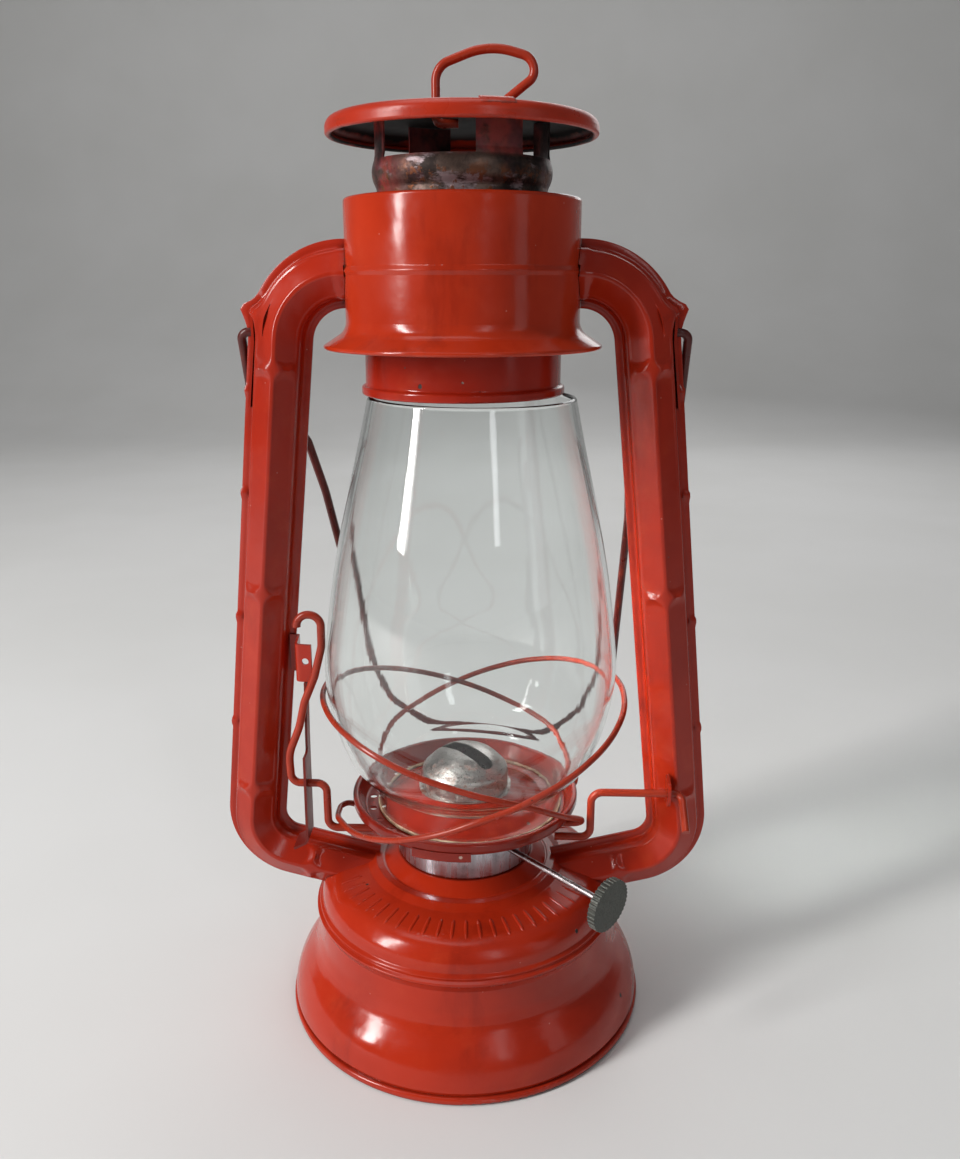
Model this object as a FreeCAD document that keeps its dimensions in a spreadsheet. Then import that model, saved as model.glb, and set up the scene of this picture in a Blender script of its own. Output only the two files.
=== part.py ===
"""Railroad lantern with a fount, two air tubes, a lifting globe and a swinging bail."""
import FreeCAD, Part
import math
import os
import Sketcher

V = FreeCAD.Vector
doc = FreeCAD.newDocument("RailroadLantern")
sheet = doc.addObject("Spreadsheet::Sheet", "sizes")


class Size:
    """A number that also remembers the expression it came from."""

    def __init__(self, value, text):
        self.value = float(value)
        self.text = text

    @staticmethod
    def of(other):
        return other if isinstance(other, Size) else Size(other, repr(float(other)))

    def join(self, other, sign, value):
        return Size(value, "(%s %s %s)" % (self.text, sign, Size.of(other).text))

    def __add__(self, other):
        return self.join(other, "+", self.value + Size.of(other).value)

    def __sub__(self, other):
        return self.join(other, "-", self.value - Size.of(other).value)

    def __mul__(self, other):
        return self.join(other, "*", self.value * Size.of(other).value)

    def __truediv__(self, other):
        return self.join(other, "/", self.value / Size.of(other).value)

    def __rsub__(self, other):
        return Size.of(other) - self

    __radd__ = __add__
    __rmul__ = __mul__

    def __neg__(self):
        return Size(0, "0") - self

    def __float__(self):
        return self.value


ZERO = Size(0, "0")


SIZES = {
    # Stock and fits
    "sheet_gauge": 0.6, "heavy_gauge": 1.0, "seam_gap": 0.1, "loose_gap": 0.3,
    "running_gap": 0.05, "seat_gap": 0.2,

    # Fount skirt and floor
    "rim_radius": 76.8, "rim_height": 3.2, "rim_roll": 1.6, "rim_foot_width": 1.4,
    "rim_step": 1.7, "toe_step": 0.8, "toe_rise": 2.2, "flank_step": 1.0, "flank_rise": 8.6,
    "flank_bend": 26.0, "waist_bend": 12.0, "waist_step": 10.6, "skirt_waist_height": 25.5,
    "bulge_step": 3.2, "bulge_swell": 1.1, "bulge_swell_rise": 6.5, "bulge_rise": 15.8, "seam_rise": 3.7,
    "seam_lip": 2.0, "seam_width": 2.6, "floor_height": 6.0, "floor_dish_inset": 12.2,
    "floor_dish_width": 6.0, "floor_dish_rise": 3.0,

    # Fount dome and filler
    "seam_bead": 0.9, "ridge_step": 1.1, "ridge_rise": 2.9, "ridge_depth": 0.3,
    "dome_wall_step": 2.5, "dome_wall_rise": 4.0, "shoulder_rise": 9.6,
    "shoulder_bend": 11.0, "dome_ring_radius": 37.5, "dome_ring_rise": 5.7,
    "dome_ring_width": 3.0, "cone_rise": 4.1, "cone_lip": 0.6, "neck_depth": 8.0,
    "filler_inset": 12.0, "filler_radius": 8.0, "filler_height": 8.5, "filler_sunk": 6.0,
    "filler_drop": 3.3,
    "cap_radius": 10.5, "cap_height": 6.0, "cap_crown": 1.0, "cap_knurl_radius": 0.9,
    "cap_knurl_count": 24,

    # Burner
    "neck_radius": 26.0, "band_radius": 28.8, "band_height": 21.1,
    "deck_drop": 3.7, "deck_flange": 1.8, "deck_hole_radius": 1.2, "deck_hole_count": 20,
    "wick_width": 22.0, "wick_gauge": 2.2, "wick_tube_below": 39.7, "wick_tube_above": 18.3,
    "wick_below": 59.7, "wick_char": 1.5, "shaft_azimuth": -42.0, "shaft_slope": 3.0,
    "shaft_drop": 7.8, "shaft_radius": 1.25, "shaft_reach": 50.2, "wheel_radius": 3.4,
    "wheel_length": 3.0, "wheel_spacing": 9.0, "wheel_teeth": 10, "wheel_tooth_radius": 0.7,
    "wheel_hub": 0.8, "knob_radius": 10.5, "knob_gauge": 3.2, "knob_teeth": 36,
    "knob_tooth_radius": 0.6,

    # Globe plate and burner dome
    "plate_rim_width": 5.3, "plate_gap": 0.4, "plate_rim_rise": 5.1, "plate_skirt_rise": 1.5,
    "plate_seat_width": 3.8, "plate_hole_radius": 1.5, "plate_hole_step": 0.8,
    "plate_hole_count": 24, "plate_cone_step": 4.8, "plate_mouth_radius": 19.5,
    "plate_mouth_rise": 6.9, "plate_guide_length": 4.0, "burner_dome_step": 1.2,
    "burner_dome_flange": 1.5, "burner_dome_rise": 17.0, "dome_slot_width": 7.0,
    "dome_slot_length": 29.0,

    # Globe: outer radii, and heights over its foot
    "glass_gauge": 2.2, "globe_foot_radius": 38.8, "globe_neck_rise": 12.6,
    "globe_hip_radius": 51.6, "globe_hip_rise": 23.7, "globe_hip_bend": 36.0,
    "globe_belly_radius": 61.5, "globe_belly_rise": 55.2, "globe_belly_bend": 85.0,
    "globe_high_radius": 54.7, "globe_high_rise": 106.3, "globe_high_bend": 560.0,
    "globe_top_radius": 40.0, "globe_height": 170.7, "globe_shift": 1.9, "globe_lean": 0.5,

    # Chimney collar, flue, air chamber and crown
    "collar_inset": 3.0, "collar_gap": 3.4, "collar_bead": 1.5, "collar_height": 31.0,
    "flue_radius": 31.0, "flue_height": 40.0, "bulge_width": 2.3, "bulge_height": 5.0,
    "brow_width": 0.8, "brow_height": 4.5, "leg_width": 0.4, "leg_drop": 1.5,
    "leg_angle": 32.0, "leg_first_azimuth": -62.7, "leg_second_azimuth": 17.3,
    "chamber_radius": 43.3, "chamber_height": 37.0, "chamber_bead": 0.8,
    "chamber_bead_drop": 25.0, "flare_drop": 46.0, "flare_width": 10.2, "flare_height": 6.8,
    "chamber_hole_gap": 0.8, "crown_gap": 8.0, "crown_radius": 48.8, "crown_rim": 2.2,
    "crown_shoulder": 5.8, "crown_shoulder_bend": 3.6, "crown_height": 8.4,
    "crown_flat_radius": 24.0,
    "spring_wire": 0.7, "spring_radius": 34.6, "spring_turns": 4.0,
    "ring_wire": 1.6, "ring_left": -9.3, "ring_right": 25.4, "ring_foot": 14.9,
    "ring_rise": 21.9, "ring_drop": 1.3, "ring_slot": 5.6,

    # Air tubes: centreline in the plane through the axis, hat section across it
    "tube_drop": 26.0, "tube_spread": 92.0, "tube_lean": 25.2, "tube_upper_bend": 25.3,
    "tube_foot_rise": 4.5, "tube_lower_bend": 19.5, "tube_end": 37.5, "tube_end_drop": 14.2,
    "tube_half_width": 8.9, "tube_depth": 12.0, "tube_rear_depth": 11.4,
    "tube_inner_flange": 3.4, "tube_outer_flange": 3.6,

    # Bail and its ears
    "bail_wire": 1.7, "bail_axis_drop": 21.0, "bail_loop": 5.9, "bail_rest_angle": 22.0,
    "ear_gauge": 1.0, "ear_inset": 2.9, "ear_width": 8.0, "ear_above": 8.0,
    "ear_below": 28.0,

    # Globe lift: two cranked wires that turn on one line across the front
    "lift_wire": 1.6, "lift_axis_front": -17.0, "lift_axis_rise": 15.4, "lift_throw": 20.5,
    "lift_foot_reach": 38.0, "left_leg_gap": 8.6, "left_shaft_gap": 4.8,
    "right_axis_drop": 2.2, "right_leg_gap": 4.8, "right_end_reach": 1.2,
    "right_tail": 17.0, "right_tail_angle": 55.0, "catch_width": 6.0, "catch_height": 16.0,
    "guard_wire": 1.2,
}


class Sizes:
    """Driving sizes, each in a cell of the sheet, and the sizes that follow from them."""

    def __init__(self, values):
        for row, (name, value) in enumerate(values.items(), 1):
            sheet.set("A%d" % row, name)
            sheet.set("B%d" % row, repr(float(value)))
            sheet.setAlias("B%d" % row, name)
            setattr(self, name, Size(value, "sizes." + name))


d = Sizes(SIZES)

# Fount
d.rim_neck_radius = d.rim_radius - d.rim_step
d.skirt_toe_radius = d.rim_radius - d.toe_step
d.skirt_toe_height = d.rim_height + d.toe_rise
d.skirt_waist_radius = d.rim_radius - d.waist_step
d.bulge_radius = d.skirt_waist_radius - d.bulge_step
d.bulge_top_height = d.skirt_waist_height + d.bulge_rise
d.seam_radius = d.bulge_radius + d.seam_lip
d.seam_height = d.bulge_top_height + d.seam_rise
d.ridge_radius = d.seam_radius - d.ridge_step
d.ridge_height = d.seam_height + d.ridge_rise
d.dome_wall_radius = d.seam_radius - d.dome_wall_step
d.dome_wall_height = d.seam_height + d.dome_wall_rise
d.shoulder_height = d.dome_wall_height + d.shoulder_rise
d.dome_ring_height = d.shoulder_height + d.dome_ring_rise
d.filler_offset = d.dome_wall_radius - d.filler_inset
d.filler_foot = d.dome_ring_height - d.filler_drop
d.cone_radius = d.band_radius + d.cone_lip
d.dome_top_height = d.dome_ring_height + d.cone_rise

# Burner, plate and globe stand one on the other
d.band_foot = d.dome_top_height + d.seat_gap
d.band_top = d.band_foot + d.band_height
d.deck_height = d.band_top - d.deck_drop
d.shaft_axis_height = d.band_top - d.shaft_drop
d.shaft_end = d.band_radius + d.shaft_reach
d.wick_tube_foot = d.band_top - d.wick_tube_below
d.wick_tube_top = d.band_top + d.wick_tube_above
d.wick_foot = d.band_top - d.wick_below
d.wick_top = d.wick_tube_top + d.wick_char
d.plate_floor_height = d.band_top + d.plate_gap
d.plate_rim_height = d.plate_floor_height + d.plate_rim_rise
d.plate_skirt_foot = d.plate_floor_height + d.plate_skirt_rise
d.plate_seat_radius = d.globe_foot_radius + d.plate_seat_width
d.plate_radius = d.plate_seat_radius + d.plate_rim_width
d.plate_hole_circle = d.globe_foot_radius + d.plate_hole_step
d.plate_cone_radius = d.globe_foot_radius - d.plate_cone_step
d.plate_mouth_height = d.plate_floor_height + d.plate_mouth_rise
d.burner_dome_radius = d.plate_mouth_radius - d.burner_dome_step
d.burner_dome_height = d.plate_mouth_height + d.burner_dome_rise
d.globe_foot_height = d.plate_floor_height + d.sheet_gauge + d.seat_gap
d.globe_top_height = d.globe_foot_height + d.globe_height

# Chimney, air chamber and crown stand on the globe
d.collar_radius = d.globe_top_radius - d.collar_inset
d.collar_foot = d.globe_top_height + d.collar_gap
d.collar_top = d.collar_foot + d.collar_height
d.flue_top = d.collar_top + d.flue_height
d.bulge_height_top = d.flue_top + d.bulge_height
d.bulge_outer = d.flue_radius + d.bulge_width
d.brow_radius = d.flue_radius + d.brow_width
d.brow_top = d.bulge_height_top + d.brow_height
d.leg_radius = d.flue_radius + d.leg_width
d.chamber_top = d.collar_top + d.chamber_height
d.chamber_bead_height = d.chamber_top - d.chamber_bead_drop
d.flare_start = d.chamber_top - d.flare_drop
d.flare_foot = d.flare_start - d.flare_height
d.flare_radius = d.chamber_radius + d.flare_width
d.crown_foot = d.brow_top + d.crown_gap
d.crown_top = d.crown_foot + d.crown_height
d.ring_top = d.crown_top + d.ring_rise

# Air tubes run from the air chamber down to the dome
d.tube_upper_height = d.chamber_top - d.tube_drop
d.tube_upper_corner = d.tube_spread - d.tube_lean
d.tube_lower_height = d.dome_ring_height + d.tube_foot_rise
d.tube_end_height = d.tube_lower_height - d.tube_end_drop


def tube_centre(height):
    """Distance of the tube's centreline from the axis at a height on the straight run."""
    rise = d.tube_upper_height - d.tube_lower_height
    return d.tube_upper_corner + d.tube_lean * (d.tube_upper_height - height) / rise


def tube_edge(height, inner):
    """Distance of the tube's flange edge from the axis at a height on the straight run."""
    rise = d.tube_upper_height - d.tube_lower_height
    widen = math.hypot(1.0, d.tube_lean.value / rise.value)
    if inner:
        return tube_centre(height) - (d.tube_half_width + d.tube_inner_flange) * widen
    return tube_centre(height) + (d.tube_half_width + d.tube_outer_flange) * widen


# Bail and lift wires hang on the tubes
d.bail_axis_height = d.tube_upper_height - d.bail_axis_drop
d.ear_top = d.bail_axis_height + d.ear_above
d.ear_foot = d.bail_axis_height - d.ear_below
d.ear_face = tube_edge(d.bail_axis_height, False) - d.ear_inset
d.ear_foot_face = tube_edge(d.ear_foot, False) - d.ear_inset
d.bail_side = d.ear_face + d.bail_loop
d.lift_axis_height = d.plate_floor_height + d.lift_axis_rise
d.left_leg = -d.plate_radius - d.left_leg_gap
d.left_shaft = -tube_edge(d.lift_axis_height, True) + d.left_shaft_gap
d.right_leg = d.plate_radius + d.right_leg_gap
d.right_axis_height = d.lift_axis_height - d.right_axis_drop
d.right_end = tube_centre(d.right_axis_height) + d.right_end_reach


# Outlines: corners are (u, v) or (u, v, bend), and a bend rounds its corner with a tangent arc

def numbers(corner):
    return V(float(corner[0]), float(corner[1]), 0)


def corner_way(corners, index):
    """Directions from a corner to its neighbours, and half the angle between them."""
    here = numbers(corners[index])
    back = (numbers(corners[index - 1]) - here).normalize()
    ahead = (numbers(corners[(index + 1) % len(corners)]) - here).normalize()
    return back, ahead, back.getAngle(ahead) / 2


def bends_that_fit(corners, closed):
    """Bend of each corner, smaller where two bends would meet on the run between them."""
    count = len(corners)
    bends = []
    reaches = []
    for index, corner in enumerate(corners):
        inner = closed or 0 < index < count - 1
        if len(corner) < 3 or corner[2] is None or not inner:
            bends.append(None)
            reaches.append(0.0)
            continue
        bends.append(Size.of(corner[2]))
        reaches.append(bends[-1].value / math.tan(corner_way(corners, index)[2]))
    shares = [1.0] * count
    for index in range(count if closed else count - 1):
        following = (index + 1) % count
        run = (numbers(corners[following]) - numbers(corners[index])).Length
        needed = reaches[index] + reaches[following]
        if needed > 0.999 * run:
            share = 0.99 * run / needed
            shares[index] = min(shares[index], share)
            shares[following] = min(shares[following], share)
    return [bend if bend is None or share == 1.0 else Size.of(bend.value * share)
            for bend, share in zip(bends, shares)]


def rounded(corners, closed):
    """Split a run of corners into straight and round pieces with sized ends."""
    count = len(corners)
    bends = bends_that_fit(corners, closed)
    joints = []
    for index, corner in enumerate(corners):
        u, v = Size.of(corner[0]), Size.of(corner[1])
        bend = bends[index]
        if bend is None:
            joints.append([(u, v)])
            continue
        back, ahead, half = corner_way(corners, index)
        reach = bend / math.tan(half)
        first = (u + reach * back.x, v + reach * back.y)
        last = (u + reach * ahead.x, v + reach * ahead.y)
        centre = numbers(corner) + (back + ahead).normalize() * (bend.value / math.sin(half))
        joints.append([first, last, bend, centre])
    pieces = []
    for index, joint in enumerate(joints):
        if len(joint) > 1:
            pieces.append(("arc", joint[0], joint[1], joint[2], joint[3]))
        if closed or index < count - 1:
            start = joint[1] if len(joint) > 1 else joint[0]
            pieces.append(("line", start, joints[(index + 1) % count][0]))
    return pieces


def draw(sketch, corners, closed=True):
    """Draw a run of corners and bind every end and radius to its size."""
    pieces = rounded(corners, closed)
    ends = []
    radii = []
    for piece in pieces:
        start = V(piece[1][0].value, piece[1][1].value, 0)
        stop = V(piece[2][0].value, piece[2][1].value, 0)
        if piece[0] == "line":
            geometry = sketch.addGeometry(Part.LineSegment(start, stop), False)
            ends.append((geometry, 1, 2))
            continue
        centre = piece[4]
        begin = math.atan2(start.y - centre.y, start.x - centre.x)
        finish = math.atan2(stop.y - centre.y, stop.x - centre.x)
        turn = (finish - begin) % (2 * math.pi)
        forward = turn < math.pi
        if not forward:
            begin, finish, turn = finish, begin, 2 * math.pi - turn
        ring = Part.Circle(centre, V(0, 0, 1), piece[3].value)
        geometry = sketch.addGeometry(Part.ArcOfCircle(ring, begin, begin + turn), False)
        ends.append((geometry, 1, 2) if forward else (geometry, 2, 1))
        radii.append((geometry, piece[3]))
    last = len(pieces) - 1
    for index, piece in enumerate(pieces):
        geometry, begin, finish = ends[index]
        bind_point(sketch, geometry, begin, piece[1])
        if index < last or closed:
            following = ends[(index + 1) % len(ends)]
            sketch.addConstraint(Sketcher.Constraint("Coincident", geometry, finish,
                                                     following[0], following[1]))
        else:
            bind_point(sketch, geometry, finish, piece[2])
    for geometry, radius in radii:
        bind(sketch, Sketcher.Constraint("Radius", geometry, radius.value), radius)


def bind(sketch, constraint, size):
    index = sketch.addConstraint(constraint)
    sketch.setExpression("Constraints[%d]" % index, size.text)


def bind_point(sketch, geometry, end, place):
    """Fix a point of the sketch at its two sizes."""
    for size, axis, kind in ((place[0], -2, "DistanceX"), (place[1], -1, "DistanceY")):
        if abs(size.value) < 1e-9:
            sketch.addConstraint(Sketcher.Constraint("PointOnObject", geometry, end, axis))
        else:
            bind(sketch, Sketcher.Constraint(kind, -1, 1, geometry, end, size.value), size)


def draw_circle(sketch, u, v, radius):
    centre = V(float(u), float(v), 0)
    geometry = sketch.addGeometry(Part.Circle(centre, V(0, 0, 1), float(radius)), False)
    bind_point(sketch, geometry, 3, (Size.of(u), Size.of(v)))
    bind(sketch, Sketcher.Constraint("Radius", geometry, float(radius)), Size.of(radius))


def metal(path, gauge, side=1):
    """Closed outline of bent sheet: the path and its copy one gauge to the left (side 1)."""
    copy = []
    count = len(path)
    for index, corner in enumerate(path):
        here = numbers(corner)
        ways = []
        if index > 0:
            ways.append((here - numbers(path[index - 1])).normalize())
        if index < count - 1:
            ways.append((numbers(path[index + 1]) - here).normalize())
        normals = [V(-way.y, way.x, 0) * side for way in ways]
        middle = sum(normals, V()).normalize()
        shift = middle / middle.dot(normals[0])
        bend = corner[2] if len(corner) > 2 else None
        if bend is not None and len(ways) == 2:
            turn = ways[0].cross(ways[1]).z * side
            bend = Size.of(bend) - gauge if turn > 0 else Size.of(bend) + gauge
            bend = bend if bend.value > 0.05 else None
        place = (corner[0] + gauge * shift.x, corner[1] + gauge * shift.y, bend)
        copy.append(place)
    return list(path) + copy[::-1]


# Bodies and their features

NODES = []


def new_body(label):
    body = doc.addObject("PartDesign::Body", label)
    body.Label = label
    NODES.append(body)
    return body


def new_sketch(body, name, role, shift=None, turn=None):
    """Sketch on an origin plane, moved along its normal by a size or turned in place."""
    sketch = body.newObject("Sketcher::SketchObject", body.Label + "_" + name)
    plane = [item for item in body.Origin.OriginFeatures if item.Role == role][0]
    sketch.AttachmentSupport = [(plane, "")]
    sketch.MapMode = "FlatFace"
    rotation = turn if turn is not None else FreeCAD.Rotation()
    base = V(0, 0, shift.value) if isinstance(shift, Size) else (shift or V())
    sketch.AttachmentOffset = FreeCAD.Placement(base, rotation)
    if isinstance(shift, Size):
        sketch.setExpression(".AttachmentOffset.Base.z", shift.text)
    return sketch


def feature(body, kind, name, profile):
    made = body.newObject("PartDesign::" + kind, body.Label + "_" + name)
    made.Profile = profile
    return made


def finish_cut(body, made, before):
    doc.recompute()
    if not made.Shape.Volume < before - 1e-3:
        raise RuntimeError(made.Name + " cuts nothing")


def turned(label, outline, angle=360.0):
    """Body of revolution about the upright axis from an outline of (radius, height)."""
    body = new_body(label)
    sketch = new_sketch(body, "outline", "XZ_Plane")
    draw(sketch, outline)
    made = feature(body, "Revolution", "turn", sketch)
    made.ReferenceAxis = (sketch, ["V_Axis"])
    made.Angle = angle
    doc.recompute()
    return body


def pad(body, name, sketch, length, midplane=False, backward=False):
    made = feature(body, "Pad", name, sketch)
    made.setExpression("Length", length.text)
    made.Midplane = midplane
    made.Reversed = backward
    doc.recompute()
    return made


def pocket(body, name, sketch, length, midplane=False, backward=False):
    before = body.Shape.Volume
    made = feature(body, "Pocket", name, sketch)
    made.setExpression("Length", length.text)
    made.Midplane = midplane
    made.Reversed = backward
    finish_cut(body, made, before)
    return made


def groove(body, name, outlines, angle=360.0, start=0.0):
    """Cut outlines of (radius, height) turned about the upright axis, from a start angle."""
    before = body.Shape.Volume
    turn = FreeCAD.Rotation(V(0, 1, 0), start)
    sketch = new_sketch(body, name + "_outline", "XZ_Plane", turn=turn)
    for outline in outlines:
        draw(sketch, outline)
    made = feature(body, "Groove", name, sketch)
    made.ReferenceAxis = (sketch, ["V_Axis"])
    made.Angle = angle
    finish_cut(body, made, before)
    return made


def bent_wire(label, route, radius, plane_shift=None):
    """Round wire along a flat route of corners in the XZ plane."""
    body = new_body(label)
    path = new_sketch(body, "route", "XZ_Plane", shift=plane_shift)
    draw(path, route, closed=False)
    doc.recompute()
    section = body.newObject("Sketcher::SketchObject", label + "_section")
    section.AttachmentSupport = [(path, "Edge1")]
    section.MapMode = "NormalToEdge"
    draw_circle(section, ZERO, ZERO, radius)
    made = feature(body, "AdditivePipe", "sweep", section)
    made.Spine = (path, ["Edge%d" % (edge + 1) for edge in range(path.GeometryCount)])
    doc.recompute()
    return body


def free_wire(label, points, radius):
    """Round wire through points in space: straight runs joined by tangent arcs."""
    places = [V(float(x), float(y), float(z)) for x, y, z in points]
    edges = []
    start = places[0]
    for before, here, after in zip(places, places[1:], places[2:]):
        back, ahead = before - here, after - here
        reach = 0.45 * min(back.Length, ahead.Length)
        back.normalize()
        ahead.normalize()
        half = back.getAngle(ahead) / 2
        if math.pi / 2 - half < 1e-4:
            continue
        bend = reach * math.tan(half)
        middle = (back + ahead).normalize() * (bend / math.sin(half) - bend)
        first, last = here + back * reach, here + ahead * reach
        edges.append(Part.LineSegment(start, first).toShape())
        edges.append(Part.Arc(first, here + middle, last).toShape())
        start = last
    edges.append(Part.LineSegment(start, places[-1]).toShape())
    circle = Part.Wire(Part.Circle(places[0], places[1] - places[0], float(radius)).toShape())
    wire = doc.addObject("Part::Feature", label)
    wire.Label = label
    wire.Shape = Part.Wire(edges).makePipeShell([circle], True, False)
    NODES.append(wire)
    return wire


def spin(vector, degrees):
    """Turn a vector about the upright axis."""
    return FreeCAD.Rotation(V(0, 0, 1), degrees).multVec(vector)


# Fount

def fount_skirt():
    """Lower fount stamping from the rolled rim on the table up to the seam."""
    g = d.sheet_gauge
    foot = d.rim_radius - d.rim_roll
    flank = d.skirt_toe_height + d.flank_rise
    waist, bulge = d.skirt_waist_height, d.bulge_top_height
    return turned("fount_skirt", [
        (foot - d.rim_foot_width, ZERO),
        (foot, ZERO),
        (d.rim_radius, ZERO, d.rim_roll - 0.1),
        (d.rim_radius, d.rim_height, 0.75 * d.rim_roll),
        (d.rim_neck_radius, d.rim_height + d.loose_gap),
        (d.skirt_toe_radius, d.skirt_toe_height),
        (d.skirt_toe_radius - d.flank_step, flank, d.flank_bend),
        (d.skirt_waist_radius, waist, d.waist_bend),
        (d.bulge_radius + d.bulge_swell, waist + d.bulge_swell_rise, 14.0),
        (d.bulge_radius, bulge, 2 * g),
        (d.seam_radius, d.seam_height - d.seam_gap),
        (d.seam_radius - d.seam_width, d.seam_height - d.seam_gap),
        (d.bulge_radius - g, bulge, 2 * g),
        (d.bulge_radius + d.bulge_swell - g, waist + d.bulge_swell_rise, 14.0),
        (d.skirt_waist_radius - g, waist, d.waist_bend + g),
        (d.skirt_toe_radius - d.flank_step - g, flank, d.flank_bend - g),
        (d.skirt_toe_radius - 1.4 * g, d.skirt_toe_height),
        (foot - d.rim_foot_width, d.rim_height),
    ])


def fount_floor():
    """Dished bottom plate pressed in above the rolled rim."""
    edge = d.skirt_toe_radius - 2.9 * d.sheet_gauge - d.seam_gap
    dish = edge - d.floor_dish_inset
    return turned("fount_floor", metal([
        (ZERO, d.floor_height + d.floor_dish_rise),
        (dish - d.floor_dish_width, d.floor_height + d.floor_dish_rise, 4.0),
        (dish, d.floor_height, 4.0),
        (edge, d.floor_height),
    ], d.sheet_gauge))


def dome_outline():
    """Path along the outer face of the fount dome, from the seam up to the burner's throat."""
    crest, brow = d.dome_ring_radius, d.dome_ring_width / 2
    return [
        (d.seam_radius, d.seam_height),
        (d.seam_radius, d.seam_height + d.seam_bead, 0.3),
        (d.ridge_radius - d.ridge_depth, d.seam_height + 1.8 * d.seam_bead, 0.3),
        (d.ridge_radius, d.ridge_height, 0.7),
        (d.dome_wall_radius, d.dome_wall_height, 0.6),
        (d.dome_wall_radius, d.shoulder_height, d.shoulder_bend),
        (crest + 3 * brow + 0.5, d.dome_ring_height - 3 * d.sheet_gauge, 2.0),
        (crest + brow, d.dome_ring_height, 1.2),
        (crest - brow, d.dome_ring_height, 1.2),
        (crest - 1.6 * brow, d.dome_ring_height - d.ridge_depth, 0.8),
        (d.cone_radius, d.dome_top_height, 0.8),
        (d.neck_radius + d.seam_gap, d.dome_top_height),
    ]


def fount_dome():
    """Upper fount stamping: seam ridges, raised ring, cone and the filler hole at the rear."""
    body = turned("fount_dome", metal(dome_outline(), d.sheet_gauge, 1))
    sketch = new_sketch(body, "filler_hole", "XY_Plane", shift=d.dome_wall_height)
    draw_circle(sketch, ZERO, d.filler_offset, d.filler_radius - d.sheet_gauge)
    pocket(body, "filler_cut", sketch, d.shoulder_rise + d.dome_ring_rise, backward=True)
    return body


def dome_block(gap):
    """Solid outline of the dome and what lies under it, grown by a gap, to cut pieces with."""
    crest, brow = d.dome_ring_radius, d.dome_ring_width / 2
    foot = d.skirt_waist_height
    return [
        (ZERO, foot), (d.ridge_radius + gap, foot),
        (d.ridge_radius + gap, d.ridge_height + gap),
        (d.dome_wall_radius + gap, d.dome_wall_height + gap),
        (d.dome_wall_radius + gap, d.shoulder_height + gap, d.shoulder_bend - 0.5),
        (crest + 3 * brow + 0.5, d.dome_ring_height - 3 * d.sheet_gauge + 1.5 * gap, 2.0),
        (crest + brow + gap, d.dome_ring_height + gap),
        (crest - brow, d.dome_ring_height + gap),
        (d.cone_radius + gap, d.dome_top_height + gap),
        (ZERO, d.dome_top_height + gap)]


def filler_neck():
    """Short threaded spout on the rear of the dome."""
    body = new_body("filler_neck")
    sunk = d.filler_sunk
    sketch = new_sketch(body, "ring", "XY_Plane", shift=d.filler_foot - sunk)
    draw_circle(sketch, ZERO, d.filler_offset, d.filler_radius)
    draw_circle(sketch, ZERO, d.filler_offset, d.filler_radius - d.sheet_gauge)
    pad(body, "wall", sketch, d.filler_height + sunk)
    groove(body, "fitting", [dome_block(d.seam_gap)])
    return body


def filler_cap():
    """Screw cap over the spout, with a milled edge."""
    body = new_body("filler_cap")
    base = d.filler_foot + d.filler_height + d.loose_gap - d.cap_height + d.cap_crown
    blank = new_sketch(body, "blank", "XY_Plane", shift=base)
    draw_circle(blank, ZERO, ZERO, d.cap_radius)
    pad(body, "disc", blank, d.cap_height)
    hollow = new_sketch(body, "hollow", "XY_Plane", shift=base)
    draw_circle(hollow, ZERO, ZERO, d.filler_radius + d.loose_gap)
    pocket(body, "bore", hollow, d.cap_height - d.cap_crown, backward=True)
    notch = new_sketch(body, "notch", "XY_Plane", shift=base)
    draw_circle(notch, d.cap_radius + 0.3 * d.cap_knurl_radius, ZERO, d.cap_knurl_radius)
    cut = pocket(body, "mill", notch, d.cap_height + d.cap_crown, backward=True)
    repeat_round(body, cut, d.cap_knurl_count, "Z_Axis")
    body.Placement = FreeCAD.Placement(V(0, d.filler_offset.value, 0), FreeCAD.Rotation())
    body.setExpression(".Placement.Base.y", d.filler_offset.text)
    return body


def repeat_round(body, cut, copies, role):
    """Repeat a cut around an axis of its own body."""
    before = body.Shape.Volume
    pattern = body.newObject("PartDesign::PolarPattern", cut.Name + "_round")
    pattern.Originals = [cut]
    axis = [item for item in body.Origin.OriginFeatures if item.Role == role][0]
    pattern.Axis = (axis, [""])
    pattern.Angle = 360.0
    pattern.setExpression("Occurrences", copies.text)
    body.Tip = pattern
    finish_cut(body, pattern, before)


# Burner

def fount_collar():
    """Ring inside the dome's throat that carries the burner."""
    return turned("fount_collar", metal([
        (d.neck_radius, d.dome_top_height - d.neck_depth),
        (d.neck_radius, d.band_foot - d.seam_gap),
    ], d.sheet_gauge, 1))


def shaft_placement():
    """Frame of the wick shaft: its own Z runs outward along the shaft."""
    offset = (d.wick_gauge / 2 + d.wheel_radius + 0.1).value
    azimuth = d.shaft_azimuth.value
    slope = math.radians(d.shaft_slope.value)
    out = spin(V(math.cos(slope), 0, -math.sin(slope)), azimuth)
    base = spin(V(0, -offset, 0), azimuth) + V(0, 0, d.shaft_axis_height.value)
    return FreeCAD.Placement(base, FreeCAD.Rotation(V(0, 0, 1), out))


def shaft_hole(body, name, radius, start, length):
    """Round hole along the wick shaft from a distance out from the axis."""
    place = shaft_placement()
    place.Base = place.multVec(V(0, 0, start.value))
    before = body.Shape.Volume
    sketch = new_sketch(body, name, "XY_Plane")
    sketch.AttachmentOffset = place
    draw_circle(sketch, ZERO, ZERO, radius)
    made = feature(body, "Pocket", name + "_cut", sketch)
    made.setExpression("Length", length.text)
    made.Reversed = True
    finish_cut(body, made, before)


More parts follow.
